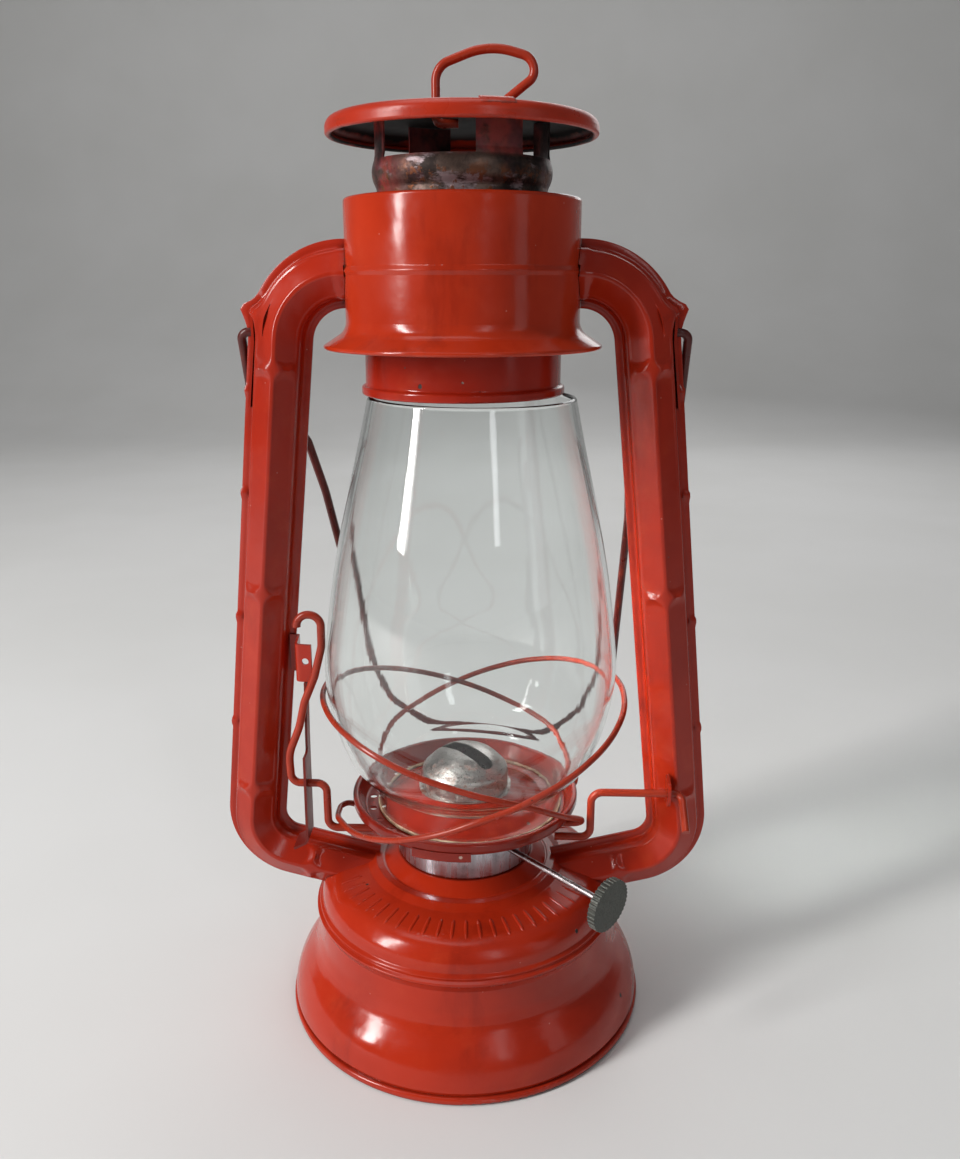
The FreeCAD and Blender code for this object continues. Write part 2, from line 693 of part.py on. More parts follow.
def burner_band():
    """Plated band round the burner, with a hole for the wick shaft."""
    g = d.sheet_gauge
    body = turned("burner_band", metal([
        (d.neck_radius - 2.0, d.band_foot),
        (d.band_radius, d.band_foot, 1.0),
        (d.band_radius, d.band_top),
    ], g, 1))
    inside = d.band_radius - 8.8
    shaft_hole(body, "shaft_hole", d.shaft_radius + d.loose_gap, inside, Size.of(20.0))
    return body


def wick_frame(body, width, gauge, foot, length, name):
    """Flat upright bar across the wick's width, turned to the wick shaft's azimuth."""
    turn = FreeCAD.Rotation(V(0, 0, 1), d.shaft_azimuth.value)
    sketch = new_sketch(body, name, "XY_Plane", shift=foot, turn=turn)
    draw(sketch, [(-width / 2, -gauge / 2), (width / 2, -gauge / 2),
                  (width / 2, gauge / 2), (-width / 2, gauge / 2)])
    return sketch, length


def burner_deck():
    """Perforated deck inside the band, slotted for the wick tube."""
    g = d.sheet_gauge
    radius = d.band_radius - g - d.seam_gap
    body = turned("burner_deck", [
        (ZERO, d.deck_height), (radius - g, d.deck_height),
        (radius - g, d.deck_height - d.deck_flange), (radius, d.deck_height - d.deck_flange),
        (radius, d.deck_height + g), (ZERO, d.deck_height + g)])
    room = 2 * (g + d.loose_gap + d.seat_gap)
    foot = d.deck_height - d.sheet_gauge
    slot, depth = wick_frame(body, d.wick_width + room, d.wick_gauge + room, foot, 4 * g, "slot")
    pocket(body, "slot_cut", slot, depth, backward=True)
    hole = new_sketch(body, "air_hole", "XY_Plane", shift=foot)
    draw_circle(hole, radius - 3.3 * d.deck_hole_radius, ZERO, d.deck_hole_radius)
    cut = pocket(body, "air_cut", hole, 4 * g, backward=True)
    repeat_round(body, cut, d.deck_hole_count, "Z_Axis")
    return body


def wick_tube():
    """Flat tube that guides the wick, with windows for the spur wheels."""
    body = new_body("wick_tube")
    g = d.sheet_gauge
    height = d.wick_tube_top - d.wick_tube_foot
    outer_width = d.wick_width + 2 * g + 2 * d.loose_gap
    outer_gauge = d.wick_gauge + 2 * g + 2 * d.loose_gap
    blank, length = wick_frame(body, outer_width, outer_gauge, d.wick_tube_foot, height, "blank")
    pad(body, "bar", blank, length)
    bore, depth = wick_frame(body, d.wick_width + 2 * d.loose_gap, d.wick_gauge + 2 * d.loose_gap,
                             d.wick_tube_foot, height + 1.0, "bore")
    pocket(body, "bore_cut", bore, depth, backward=True)
    place = shaft_placement()
    sketch = new_sketch(body, "window", "XY_Plane")
    half = (d.wheel_spacing / 2 + d.wheel_length / 2 + 0.8).value
    sketch.AttachmentOffset = FreeCAD.Placement(place.multVec(V(0, 0, -half)), place.Rotation)
    draw_circle(sketch, ZERO, ZERO, d.wheel_radius + d.loose_gap)
    before = body.Shape.Volume
    made = feature(body, "Pocket", "window_cut", sketch)
    made.setExpression("Length", (d.wheel_spacing + d.wheel_length + 1.6).text)
    made.Reversed = True
    finish_cut(body, made, before)
    return body


def wick():
    """Woven wick strip, its charred end just above the tube."""
    body = new_body("wick")
    sketch, length = wick_frame(body, d.wick_width, d.wick_gauge, d.wick_foot,
                                d.wick_top - d.wick_foot, "section")
    pad(body, "strip", sketch, length)
    return body


def wick_shaft():
    """Steel shaft from the burner out to the knob."""
    body = new_body("wick_shaft")
    sketch = new_sketch(body, "section", "XY_Plane", shift=-(d.wick_width / 2))
    draw_circle(sketch, ZERO, ZERO, d.shaft_radius)
    pad(body, "rod", sketch, d.shaft_end + d.wick_width / 2)
    body.Placement = shaft_placement()
    return body


def wick_wheels():
    """Two spur wheels on the shaft that drive the wick."""
    body = new_body("wick_wheels")
    start = -(d.wheel_spacing / 2) - d.wheel_length / 2
    sketch = new_sketch(body, "sleeve", "XY_Plane", shift=start)
    draw_circle(sketch, ZERO, ZERO, d.shaft_radius + d.wheel_hub)
    draw_circle(sketch, ZERO, ZERO, d.shaft_radius)
    pad(body, "sleeve_pad", sketch, d.wheel_spacing + d.wheel_length)
    for name, place in (("near", start), ("far", start + d.wheel_spacing)):
        disc = new_sketch(body, name, "XY_Plane", shift=place)
        draw_circle(disc, ZERO, ZERO, d.wheel_radius)
        draw_circle(disc, ZERO, ZERO, d.shaft_radius)
        pad(body, name + "_wheel", disc, d.wheel_length)
    notch = new_sketch(body, "tooth_gap", "XY_Plane", shift=start - 0.5)
    draw_circle(notch, d.wheel_radius + 0.1, ZERO, d.wheel_tooth_radius)
    cut = pocket(body, "tooth_cut", notch, d.wheel_spacing + d.wheel_length + 1.0, backward=True)
    repeat_round(body, cut, d.wheel_teeth, "Z_Axis")
    body.Placement = shaft_placement()
    return body


def wick_knob():
    """Flat milled thumb wheel on the end of the shaft."""
    body = new_body("wick_knob")
    sketch = new_sketch(body, "blank", "XY_Plane", shift=d.shaft_end)
    draw_circle(sketch, ZERO, ZERO, d.knob_radius)
    pad(body, "disc", sketch, d.knob_gauge)
    notch = new_sketch(body, "notch", "XY_Plane", shift=d.shaft_end - 0.5)
    draw_circle(notch, d.knob_radius + 0.15, ZERO, d.knob_tooth_radius)
    cut = pocket(body, "mill", notch, d.knob_gauge + 1.0, backward=True)
    repeat_round(body, cut, d.knob_teeth, "Z_Axis")
    body.Placement = shaft_placement()
    return body


# Globe plate, burner dome and globe

def globe_plate():
    """Dished plate that carries the globe: rolled rim, seat, air holes and a raised mouth."""
    g = d.sheet_gauge
    body = turned("globe_plate", [
        (d.plate_seat_radius + 2.0, d.plate_skirt_foot),
        (d.plate_radius - 0.6, d.plate_skirt_foot),
        (d.plate_radius, d.plate_skirt_foot + 1.6, 1.2),
        (d.plate_radius, d.plate_rim_height + 1.0, 1.0),
        (d.plate_radius - 2.2, d.plate_rim_height + 1.0, 1.0),
        (d.plate_seat_radius, d.plate_floor_height + g, 1.0),
        (d.plate_cone_radius, d.plate_floor_height + g, 3.0),
        (d.plate_mouth_radius, d.plate_mouth_height),
        (d.plate_mouth_radius, d.plate_mouth_height - g),
        (d.plate_cone_radius, d.plate_floor_height, 3.6),
        (d.plate_seat_radius + 0.4, d.plate_floor_height, 1.6),
    ])
    hole = new_sketch(body, "air_hole", "XY_Plane", shift=d.plate_floor_height - 0.5)
    draw_circle(hole, d.plate_hole_circle, ZERO, d.plate_hole_radius)
    cut = pocket(body, "air_cut", hole, 5 * g, backward=True)
    repeat_round(body, cut, d.plate_hole_count, "Z_Axis")
    return body


def plate_guide():
    """Ring under the plate that keeps it centred in the burner band."""
    g = d.sheet_gauge
    radius = d.band_radius - g - d.loose_gap
    top = d.plate_floor_height + 1.2
    return turned("plate_guide", [
        (radius - g, top - d.plate_guide_length), (radius, top - d.plate_guide_length),
        (radius, top), (radius - g, top)])


def burner_dome():
    """Domed deflector with a wide slot over the wick."""
    g = d.sheet_gauge
    foot = d.plate_mouth_height + d.seam_gap
    radius = d.burner_dome_radius
    flange = radius + d.burner_dome_flange
    body = turned("burner_dome", [
        (radius - g, foot), (flange, foot), (flange, foot + g),
        (radius, foot + g), (radius, d.burner_dome_height - 8.0, 3.0),
        (radius - 6.5, d.burner_dome_height - 1.5, 12.0), (ZERO, d.burner_dome_height + 0.5),
        (ZERO, d.burner_dome_height + 0.5 - g), (radius - 6.5 - 0.4 * g,
                                                 d.burner_dome_height - 1.5 - g, 11.4),
        (radius - g, d.burner_dome_height - 8.0, 2.4)])
    turn = FreeCAD.Rotation(V(0, 0, 1), d.shaft_azimuth.value)
    sketch = new_sketch(body, "slot", "XY_Plane", shift=d.burner_dome_height - 7.0, turn=turn)
    half, reach = d.dome_slot_width / 2, d.dome_slot_length / 2
    draw(sketch, [(-reach, -half, 3.0), (reach, -half, 3.0),
                  (reach, half, 3.0), (-reach, half, 3.0)])
    pocket(body, "slot_cut", sketch, Size.of(12.0), backward=True)
    return body


def globe():
    """Blown glass globe, standing on the plate a little off centre."""
    g = d.glass_gauge
    foot = d.globe_foot_height
    outer = [
        (d.globe_foot_radius, foot),
        (d.globe_foot_radius, foot + d.globe_neck_rise, 4.0),
        (d.globe_hip_radius, foot + d.globe_hip_rise, d.globe_hip_bend),
        (d.globe_belly_radius, foot + d.globe_belly_rise, d.globe_belly_bend),
        (d.globe_high_radius, foot + d.globe_high_rise, d.globe_high_bend),
        (d.globe_top_radius, d.globe_top_height),
    ]
    inner = metal(outer, g, 1)[len(outer):]
    inner[0] = (d.globe_top_radius - g, d.globe_top_height)
    body = turned("globe", outer + inner)
    lean = FreeCAD.Rotation(V(0, 1, 0), d.globe_lean.value)
    rise = V(d.globe_shift.value, 0, 2 * d.seat_gap.value)
    body.Placement = FreeCAD.Placement(rise, lean, V(0, 0, foot.value))
    return body


# Air chamber, chimney and crown

def air_chamber():
    """Drum over the globe with a step bead, a flared skirt and holes for the two tubes."""
    g = d.sheet_gauge
    r = d.chamber_radius
    mouth = d.bulge_outer + 2 * d.loose_gap
    bead = d.chamber_bead
    body = turned("air_chamber", metal([
        (mouth, d.chamber_top),
        (r, d.chamber_top, 1.2),
        (r, d.chamber_bead_height + 1.6, 0.8),
        (r + bead, d.chamber_bead_height, 0.8),
        (r + bead / 2, d.chamber_bead_height - 1.6, 0.8),
        (r + bead / 2, d.flare_start, 6.0),
        (d.flare_radius, d.flare_foot + g, 1.5 * g),
        (d.flare_radius - 2.0, d.flare_foot, None),
    ], g, -1))
    for name, side in (("right_hole", 1), ("left_hole", -1)):
        sketch = new_sketch(body, name, "YZ_Plane")
        draw_circle(sketch, ZERO, d.tube_upper_height, d.tube_half_width - d.chamber_hole_gap)
        pocket(body, name + "_cut", sketch, Size.of(60.0), backward=side > 0)
    return body


def chimney_collar():
    """Ring that presses on the globe, with a shoulder up to the flue."""
    g = d.sheet_gauge
    r = d.collar_radius
    bead = d.collar_bead
    return turned("chimney_collar", metal([
        (r + 0.4, d.collar_foot - bead, None),
        (r + bead, d.collar_foot - bead, 0.7),
        (r + bead, d.collar_foot + bead, 0.9),
        (r, d.collar_foot + bead + 0.6, 0.8),
        (r, d.collar_top, 2.0),
        (d.flue_radius + d.seam_gap, d.collar_top),
    ], g, 1))


def chimney():
    """Flue with its bulged band and four legs up to the crown."""
    g = d.sheet_gauge
    leg = d.leg_radius
    top = d.crown_top - d.leg_drop
    outer = [
        (d.flue_radius, d.collar_top - 10 * g),
        (d.flue_radius, d.flue_top, 2.0),
        (d.bulge_outer, d.bulge_height_top, 9.0),
        (d.brow_radius, d.brow_top, 1.5),
        (leg, d.brow_top + 2.0, 2.0),
        (leg, top),
    ]
    body = turned("chimney", metal(outer, g, 1))
    sill, lintel = d.brow_top, d.crown_top
    window = [(leg - 4.0, sill), (leg + 4.0, sill), (leg + 4.0, lintel), (leg - 4.0, lintel)]
    half = d.leg_angle.value / 2
    azimuths = [d.leg_first_azimuth.value, d.leg_second_azimuth.value]
    azimuths += [azimuth + 180 for azimuth in azimuths]
    for index, azimuth in enumerate(azimuths):
        following = azimuths[(index + 1) % 4]
        span = (following - azimuth) % 360 - 2 * half
        groove(body, "window_%d" % (index + 1), [window], span, azimuth + half)
    return body


def crown():
    """Shallow hood over the flue with a rolled rim and two slots for the lift ring."""
    g = d.sheet_gauge
    rim = d.crown_rim
    r, flat = d.crown_radius, d.crown_flat_radius
    foot = d.crown_foot
    shoulder = foot + d.crown_shoulder
    bend = d.crown_shoulder_bend
    body = turned("crown", [
        (ZERO, d.crown_top), (flat, d.crown_top, 60.0), (r, shoulder, bend), (r, foot, 1.0),
        (r - rim, foot, 1.0), (r - rim, foot + rim, 0.8), (r - g, foot + rim),
        (r - g, shoulder - 0.9 * g, bend - g), (flat, d.crown_top - g, 59.4),
        (ZERO, d.crown_top - g)])
    half = d.ring_wire + 0.5
    reach = d.ring_slot
    for name, place in (("left", d.ring_left), ("right", d.ring_foot)):
        sketch = new_sketch(body, name + "_slot", "XY_Plane", shift=d.crown_top - 6.0)
        draw(sketch, [(place - half, -reach, 1.5), (place + half, -reach, 1.5),
                      (place + half, reach, 1.5), (place - half, reach, 1.5)])
        pocket(body, name + "_slot_cut", sketch, Size.of(12.0), backward=True)
    return body


def ring_axis_height():
    """Height of the lift ring's feet, turning just under the crown."""
    return d.crown_top - d.sheet_gauge - d.ring_wire - d.ring_drop


def lift_ring():
    """Wire ring through the crown, its feet turned in under the sheet."""
    low = ring_axis_height()
    left, right, top = d.ring_left, d.ring_right, d.ring_top
    return bent_wire("lift_ring", [
        (left + 8.0, low), (left, low, 2.2), (left, top - 6.9, 7.0), (left + 18.9, top, 27.0),
        (right, top - 4.4, 5.5), (right, top - 10.6, 4.0), (d.ring_foot, top - 18.4, 2.2),
        (d.ring_foot, low, 2.2), (d.ring_foot - 8.0, low)], d.ring_wire)


def chimney_spring():
    """Coil spring round the flue that presses the chimney down on the globe."""
    rest = d.spring_wire + 0.2
    foot = (d.collar_top + d.sheet_gauge + rest).value
    head = (d.chamber_top - d.sheet_gauge - rest).value
    steps_per_turn = 12
    steps = round(d.spring_turns.value * steps_per_turn)
    radius = d.spring_radius.value
    points = []
    for step in range(steps + 1):
        angle = 2 * math.pi * step / steps_per_turn
        height = foot + (head - foot) * step / steps
        points.append((radius * math.cos(angle), radius * math.sin(angle), height))
    return free_wire("chimney_spring", points, d.spring_wire)


# Air tubes

def tube_half(label, side, front):
    """One stamped half of a side tube: a hat section swept down the bent centreline."""
    body = new_body(label)
    start = (d.chamber_radius - 2.5) * side
    path = new_sketch(body, "route", "XZ_Plane")
    draw(path, [
        (start, d.tube_upper_height),
        (d.tube_upper_corner * side, d.tube_upper_height, d.tube_upper_bend),
        (d.tube_spread * side, d.tube_lower_height, d.tube_lower_bend),
        (d.tube_end * side, d.tube_end_height),
    ], closed=False)
    doc.recompute()
    g = d.sheet_gauge
    half = d.tube_half_width
    out, low = half + d.tube_outer_flange, -half - d.tube_inner_flange
    way = -1 if front else 1
    depth = d.tube_depth if front else d.tube_rear_depth
    face = (d.seam_gap / 2) * way
    crest = depth * way
    bend = half - 0.05
    section = new_sketch(body, "section", "YZ_Plane", shift=start)
    height = d.tube_upper_height
    draw(section, [
        (face, height + out), (face + g * way, height + out),
        (face + g * way, height + half), (crest, height + half, bend),
        (crest, height - half, bend), (face + g * way, height - half),
        (face + g * way, height + low), (face, height + low),
        (face, height - half + g), (crest - g * way, height - half + g, bend - g),
        (crest - g * way, height + half - g, bend - g), (face, height + half - g)])
    made = feature(body, "AdditivePipe", "sweep", section)
    made.Spine = (path, ["Edge%d" % (edge + 1) for edge in range(path.GeometryCount)])
    doc.recompute()
    gap = d.seam_gap
    wall = d.chamber_radius + d.chamber_bead + gap
    drum = [(ZERO, d.flare_foot), (wall, d.flare_foot), (wall, d.chamber_top),
            (ZERO, d.chamber_top)]
    groove(body, "fitting", [drum, dome_block(gap)])
    notch = new_sketch(body, "ear_notch", "XZ_Plane")
    low, high = d.ear_foot - d.loose_gap, d.ear_top + d.loose_gap
    inner, outer = d.ear_face - 3 * d.seat_gap, d.ear_foot_face + 10.0
    draw(notch, [((d.ear_foot_face - 2 * d.seat_gap) * side, low), (outer * side, low),
                 (outer * side, high), (inner * side, high),
                 (inner * side, d.bail_axis_height - 2 * d.bail_wire)])
    pocket(body, "ear_notch_cut", notch, 4 * g, midplane=True)
    return body


# Bail and ears

def bail_ear(label, side):
    """Bent strip along the outer flange of a tube, with the bail's hole."""
    body = new_body(label)
    g = d.ear_gauge
    face = d.ear_face
    outline = metal([
        (face, d.ear_top), (face, d.bail_axis_height - 2 * d.bail_wire),
        (d.ear_foot_face, d.ear_foot)], g, 1)
    sketch = new_sketch(body, "profile", "XZ_Plane")
    draw(sketch, [(corner[0] * side,) + tuple(corner[1:]) for corner in outline])
    pad(body, "strip", sketch, d.ear_width, midplane=True)
    hole = new_sketch(body, "hole", "YZ_Plane", shift=(face - 5 * g) * side)
    draw_circle(hole, ZERO, d.bail_axis_height, d.bail_wire + d.running_gap)
    pocket(body, "hole_cut", hole, 12 * g, backward=side > 0)
    return body


# Corners of the bail from its left end to its right end: step in from the loop at that end,
# distance below the hinge, bend
BAIL_LEFT = [
    (0.0, 0.0, 3.2), (0.0, 34.0, 7.0), (19.6, 45.5, 7.0), (24.6, 72.0, 60.0),
    (31.1, 128.0, 90.0), (34.1, 168.0, 60.0), (42.6, 196.0, 22.0), (60.6, 213.5, 24.0),
]
BAIL_RIGHT = [
    (46.6, 223.5, 24.0), (26.1, 203.0, 22.0), (17.1, 176.0, 30.0), (16.1, 84.0, 60.0),
    (18.6, 45.5, 7.0), (0.0, 34.0, 7.0), (0.0, 0.0, 3.2),
]


def bail():
    """Carrying wire, hinged in the ears and resting back behind the globe."""
    end = d.ear_face - 2 * d.seat_gap
    route = [(-end, ZERO)]
    route += [(step - d.bail_side, Size.of(-drop), bend) for step, drop, bend in BAIL_LEFT]
    route += [(d.bail_side - step, Size.of(-drop), bend) for step, drop, bend in BAIL_RIGHT]
    route.append((end, ZERO))
    body = bent_wire("bail", route, d.bail_wire)
    turn = FreeCAD.Rotation(V(1, 0, 0), d.bail_rest_angle.value)
    body.Placement = FreeCAD.Placement(V(0, 0, d.bail_axis_height.value), turn)
    body.setExpression(".Placement.Base.z", d.bail_axis_height.text)
    return body


# Globe lift

# Corners of the lever's handle: step in from its shaft, rise over the axis, bend
HANDLE = [(-0.4, 13.0, 18.0), (4.4, 25.0, 30.0), (7.0, 36.0, 14.0), (11.6, 47.0, 14.0),
          (15.0, 60.0, 14.0), (15.2, 73.2, 4.7), (5.5, 73.2, 4.7), (5.5, 68.2, None)]


def lift_lever():
    """Left lift wire: finger loop, shaft, journal, throw and the foot under the plate."""
    axis = d.lift_axis_height
    foot = axis - d.lift_throw
    bend = 2.5 * d.lift_wire
    route = [(-d.lift_foot_reach, foot), (d.left_leg, foot, bend), (d.left_leg, axis, bend),
             (d.left_shaft, axis, bend)]
    route += [(d.left_shaft + step, axis + rise, turn) for step, rise, turn in HANDLE]
    return bent_wire("lift_lever", route, d.lift_wire, plane_shift=-d.lift_axis_front)


def lift_arm():
    """Right lift wire: tail, journal, throw and foot."""
    axis = d.right_axis_height
    front = d.lift_axis_front
    foot = axis - d.lift_throw
    reach, foot_reach = 6.5 * d.lift_wire, 5.3 * d.lift_wire
    tail = math.radians(d.right_tail_angle.value)
    end, leg = d.right_end, d.right_leg
    tip_front = front - d.right_tail * math.sin(tail)
    tip_height = axis - d.right_tail * math.cos(tail)
    return free_wire("lift_arm", [
        (end, tip_front, tip_height), (end, front, axis),
        (end - foot_reach, front, axis), (leg + reach, front, axis),
        (leg, front, axis), (leg, front, axis - reach),
        (leg, front, foot + foot_reach), (leg, front, foot),
        (leg - foot_reach, front, foot), (d.lift_foot_reach, front, foot)], d.lift_wire)


def catch_foot():
    """Height of the catch plate's lower edge, under the lever's finger loop."""
    return d.lift_axis_height + 43.5


def lever_bracket():
    """Upright strip on the tube's lower bend that holds the lever's journal."""
    body = new_body("lever_bracket")
    g = d.heavy_gauge
    axis = d.lift_axis_height
    shaft = d.left_shaft
    top = catch_foot() - d.seat_gap
    outline = metal([
        (shaft + 0.5, axis - 29.1), (shaft + 6.5, axis - 26.0, 3.0),
        (shaft + 7.0, axis + 20.0, 30.0), (shaft + 7.6, top)], g, 1)
    back = -d.lift_axis_front - 7.5
    sketch = new_sketch(body, "profile", "XZ_Plane", shift=back)
    draw(sketch, outline)
    pad(body, "strip", sketch, Size.of(11.5))
    trim = new_sketch(body, "trim", "YZ_Plane", shift=shaft - 20 * g)
    narrow = d.lift_axis_front + d.lift_wire + d.sheet_gauge
    front = d.lift_axis_front - 23 * g
    draw(trim, [(narrow, axis + 13.0, 2.0), (narrow, top + g), (front, top + g),
                (front, axis + 13.0)])
    pocket(body, "trim_cut", trim, 60 * g, backward=True)
    hole = new_sketch(body, "hole", "YZ_Plane", shift=shaft + 2 * g)
    draw_circle(hole, d.lift_axis_front, axis, d.lift_wire + d.running_gap)
    pocket(body, "hole_cut", hole, 10 * g, backward=True)
    return body


def lever_catch():
    """Bent plate from the tube's inner flange to the front, which stops the lever's loop."""
    body = new_body("lever_catch")
    g = d.heavy_gauge
    foot = catch_foot()
    edge = tube_edge(foot + d.catch_height, True)
    face = d.lift_axis_front + d.lift_wire + 2 * g
    rear = -d.sheet_gauge - d.seam_gap - g
    inner = d.left_shaft + 4.2 + d.catch_width
    path = [
        (-edge - 2.6, rear + g), (-edge + 1.6, rear + g, 1.5),
        (inner - d.catch_width, face + 0.8, 1.5), (inner, face)]
    sketch = new_sketch(body, "plan", "XY_Plane", shift=foot)
    draw(sketch, metal(path, g, -1))
    pad(body, "plate", sketch, d.catch_height)
    dimple = new_sketch(body, "dimple", "XZ_Plane", shift=-(face - 2 * g))
    draw_circle(dimple, inner - 0.45 * d.catch_width, foot + 0.55 * d.catch_height, Size.of(1.4))
    pocket(body, "dimple_cut", dimple, 6 * g, midplane=True)
    return body


def arm_bracket():
    """Ear on the front of the right tube, with the right journal's hole."""
    body = new_body("arm_bracket")
    axis = d.right_axis_height
    front = d.lift_axis_front - 2.1 * d.lift_wire
    place = d.right_end - 3 * d.lift_wire
    sketch = new_sketch(body, "profile", "YZ_Plane", shift=place)
    back = 2 * d.seat_gap - d.tube_depth
    draw(sketch, [
        (back, axis - 6.0), (back, axis + 6.0), (front, axis + 5.0, 3.0),
        (front, axis - 5.0, 3.0)])
    pad(body, "plate", sketch, 2 * d.sheet_gauge, backward=True)
    hole = new_sketch(body, "hole", "YZ_Plane", shift=place - 5.0)
    draw_circle(hole, d.lift_axis_front, axis, d.lift_wire + d.running_gap)
    pocket(body, "hole_cut", hole, Size.of(10.0), backward=True)
    return body


def guard_ring(label, plane, oval, arc, front_tail, rear_tail):
    """Globe guard: a leaning oval open at its low end, with both ends under the plate."""
    rise, slope_x, slope_y = plane
    centre, across, front, rear = oval
    belly = d.globe_belly_radius.value

    def tail_point(beyond, azimuth, height):
        place = spin(V(d.plate_radius.value + beyond, 0, 0), azimuth)
        return (place.x, place.y, d.plate_floor_height.value + height)

    points = [tail_point(*corner) for corner in front_tail]
    for step in range(arc[2]):
        angle = math.radians(arc[0] + arc[1] * step)
        depth = rear if math.sin(angle) > 0 else front
        x = centre + (belly + across) * math.cos(angle)
        y = (belly + depth) * math.sin(angle)
        points.append((x, y, d.plate_floor_height.value + rise + slope_x * x + slope_y * y))
    points += [tail_point(*corner) for corner in rear_tail]
    return free_wire(label, points, d.guard_wire)


def guard_rings():
    """The two crossing guard rings. Plane: rise over the plate's floor and slopes; oval: centre
    and reaches beyond the belly; arc: first angle, step and count; tails: beyond the plate's
    edge, azimuth, height over the floor."""
    under = -(d.guard_wire + d.seam_gap).value - 0.05
    low = under + 0.3
    guard_ring("guard_ring_a", (27.8, 0.33, 0.095), (9.8, -4.1, 0.5, 0.5), (-78, 22, 11),
               [(-14.5, 188.6, under), (-4.7, 187.0, under), (2.7, 183.5, low),
                (5.4, 186.5, low), (6.5, 193.0, low + 0.3), (7.4, 199.0, low + 1.2),
                (6.7, 215.0, low + 2.3), (7.6, 230.0, 4.9), (9.1, 245.0, 9.8),
                (11.1, 257.0, 14.8), (13.1, 267.0, 19.3), (14.6, 277.0, 24.2)],
               [(4.9, 141.0, 11.0), (3.0, 147.0, 4.5), (1.8, 150.0, low + 0.5),
                (-4.5, 153.0, under), (-14.4, 153.0, under)])
    guard_ring("guard_ring_b", (32.5, -0.324, -0.038), (-4.4, -6.4, -2.9, -5.5), (-80, -22, 12),
               [(-13.9, -25.0, under), (-5.0, -23.0, under), (1.9, -20.5, low),
                (4.0, -18.5, low + 0.3), (4.6, -21.5, 1.9), (6.0, -32.0, 7.7),
                (7.0, -41.0, 12.2), (8.1, -52.7, 18.9), (9.1, -63.0, 24.7),
                (9.8, -74.0, 29.3)],
               [(5.2, 30.0, 10.0), (4.4, 21.0, 4.5), (1.8, 15.5, low + 0.9),
                (-4.6, 17.0, under), (-14.3, 17.0, under)])


def build():
    fount_skirt()
    fount_floor()
    fount_dome()
    filler_neck()
    filler_cap()
    fount_collar()
    burner_band()
    burner_deck()
    wick_tube()
    wick()
    wick_shaft()
    wick_wheels()
    wick_knob()
    globe_plate()
    plate_guide()
    burner_dome()
    globe()
    guard_rings()
    air_chamber()
    chimney_collar()
    chimney()
    chimney_spring()
    crown()
    lift_ring()
    for name, side in (("left", -1), ("right", 1)):
        tube_half("tube_%s_front" % name, side, True)
        tube_half("tube_%s_rear" % name, side, False)
        bail_ear("bail_ear_" + name, side)
    bail()
    lift_lever()
    lift_arm()
    lever_bracket()
    lever_catch()
    arm_bracket()


def write_parts():
    """Check every object and write one file per sub-part."""
    doc.recompute()
    for item in doc.Objects:
        if "Invalid" in item.State or "Error" in item.State:
            raise RuntimeError("%s failed" % item.Name)
    os.makedirs("parts", exist_ok=True)
    for node in NODES:
        shape = node.Shape
        if shape.isNull() or not shape.isValid() or not shape.Solids:
            raise RuntimeError("%s has no sound solid" % node.Label)
        shape.exportStep("parts/%s.step" % node.Label)
        print(node.Label, len(shape.Solids), round(shape.Volume / 1000, 2))


build()
write_parts()
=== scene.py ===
"""Railroad lantern: materials, stamped tubes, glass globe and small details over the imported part."""
import math

import bmesh
import bpy
import numpy as np
from mathutils import Matrix, Vector


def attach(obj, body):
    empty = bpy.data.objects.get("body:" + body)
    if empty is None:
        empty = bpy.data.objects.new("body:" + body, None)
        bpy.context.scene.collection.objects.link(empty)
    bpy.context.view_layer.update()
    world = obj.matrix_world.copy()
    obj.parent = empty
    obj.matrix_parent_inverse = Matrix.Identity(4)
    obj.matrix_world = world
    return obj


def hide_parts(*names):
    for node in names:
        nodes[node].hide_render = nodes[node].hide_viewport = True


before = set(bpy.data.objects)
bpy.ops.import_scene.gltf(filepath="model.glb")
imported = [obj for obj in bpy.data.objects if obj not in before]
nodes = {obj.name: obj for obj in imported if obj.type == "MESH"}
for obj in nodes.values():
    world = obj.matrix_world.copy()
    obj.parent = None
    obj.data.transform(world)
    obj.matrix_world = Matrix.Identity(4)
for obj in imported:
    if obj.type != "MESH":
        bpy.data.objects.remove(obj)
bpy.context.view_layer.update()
MM = 0.001
CROWN_EDGE = 0.0488  # outer radius of the crown, metres


# Mesh helpers

def add_mesh(name, verts, faces, material, body, sharp=40.0):
    """A mesh object from points in millimetres, smooth apart from its sharp edges."""
    mesh = bpy.data.meshes.new(name)
    mesh.from_pydata([tuple(c * MM for c in v) for v in verts], [], faces)
    mesh.validate()
    bm = bmesh.new()
    bm.from_mesh(mesh)
    bmesh.ops.recalc_face_normals(bm, faces=bm.faces)
    bm.to_mesh(mesh)
    bm.free()
    mesh.shade_smooth()
    mesh.set_sharp_from_angle(angle=math.radians(sharp))
    mesh.materials.append(material)
    obj = bpy.data.objects.new(name, mesh)
    bpy.context.scene.collection.objects.link(obj)
    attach(obj, body)
    return obj


def lathe(profile, steps):
    """Points and faces of a closed outline of (radius, height) turned about Z."""
    verts = []
    faces = []
    count = len(profile)
    for step in range(steps):
        azimuth = 2 * math.pi * step / steps
        verts += [(r * math.cos(azimuth), r * math.sin(azimuth), z) for r, z in profile]
    for step in range(steps):
        here, there = step * count, (step + 1) % steps * count
        for index in range(count):
            following = (index + 1) % count
            faces.append((here + index, there + index, there + following, here + following))
    return verts, faces


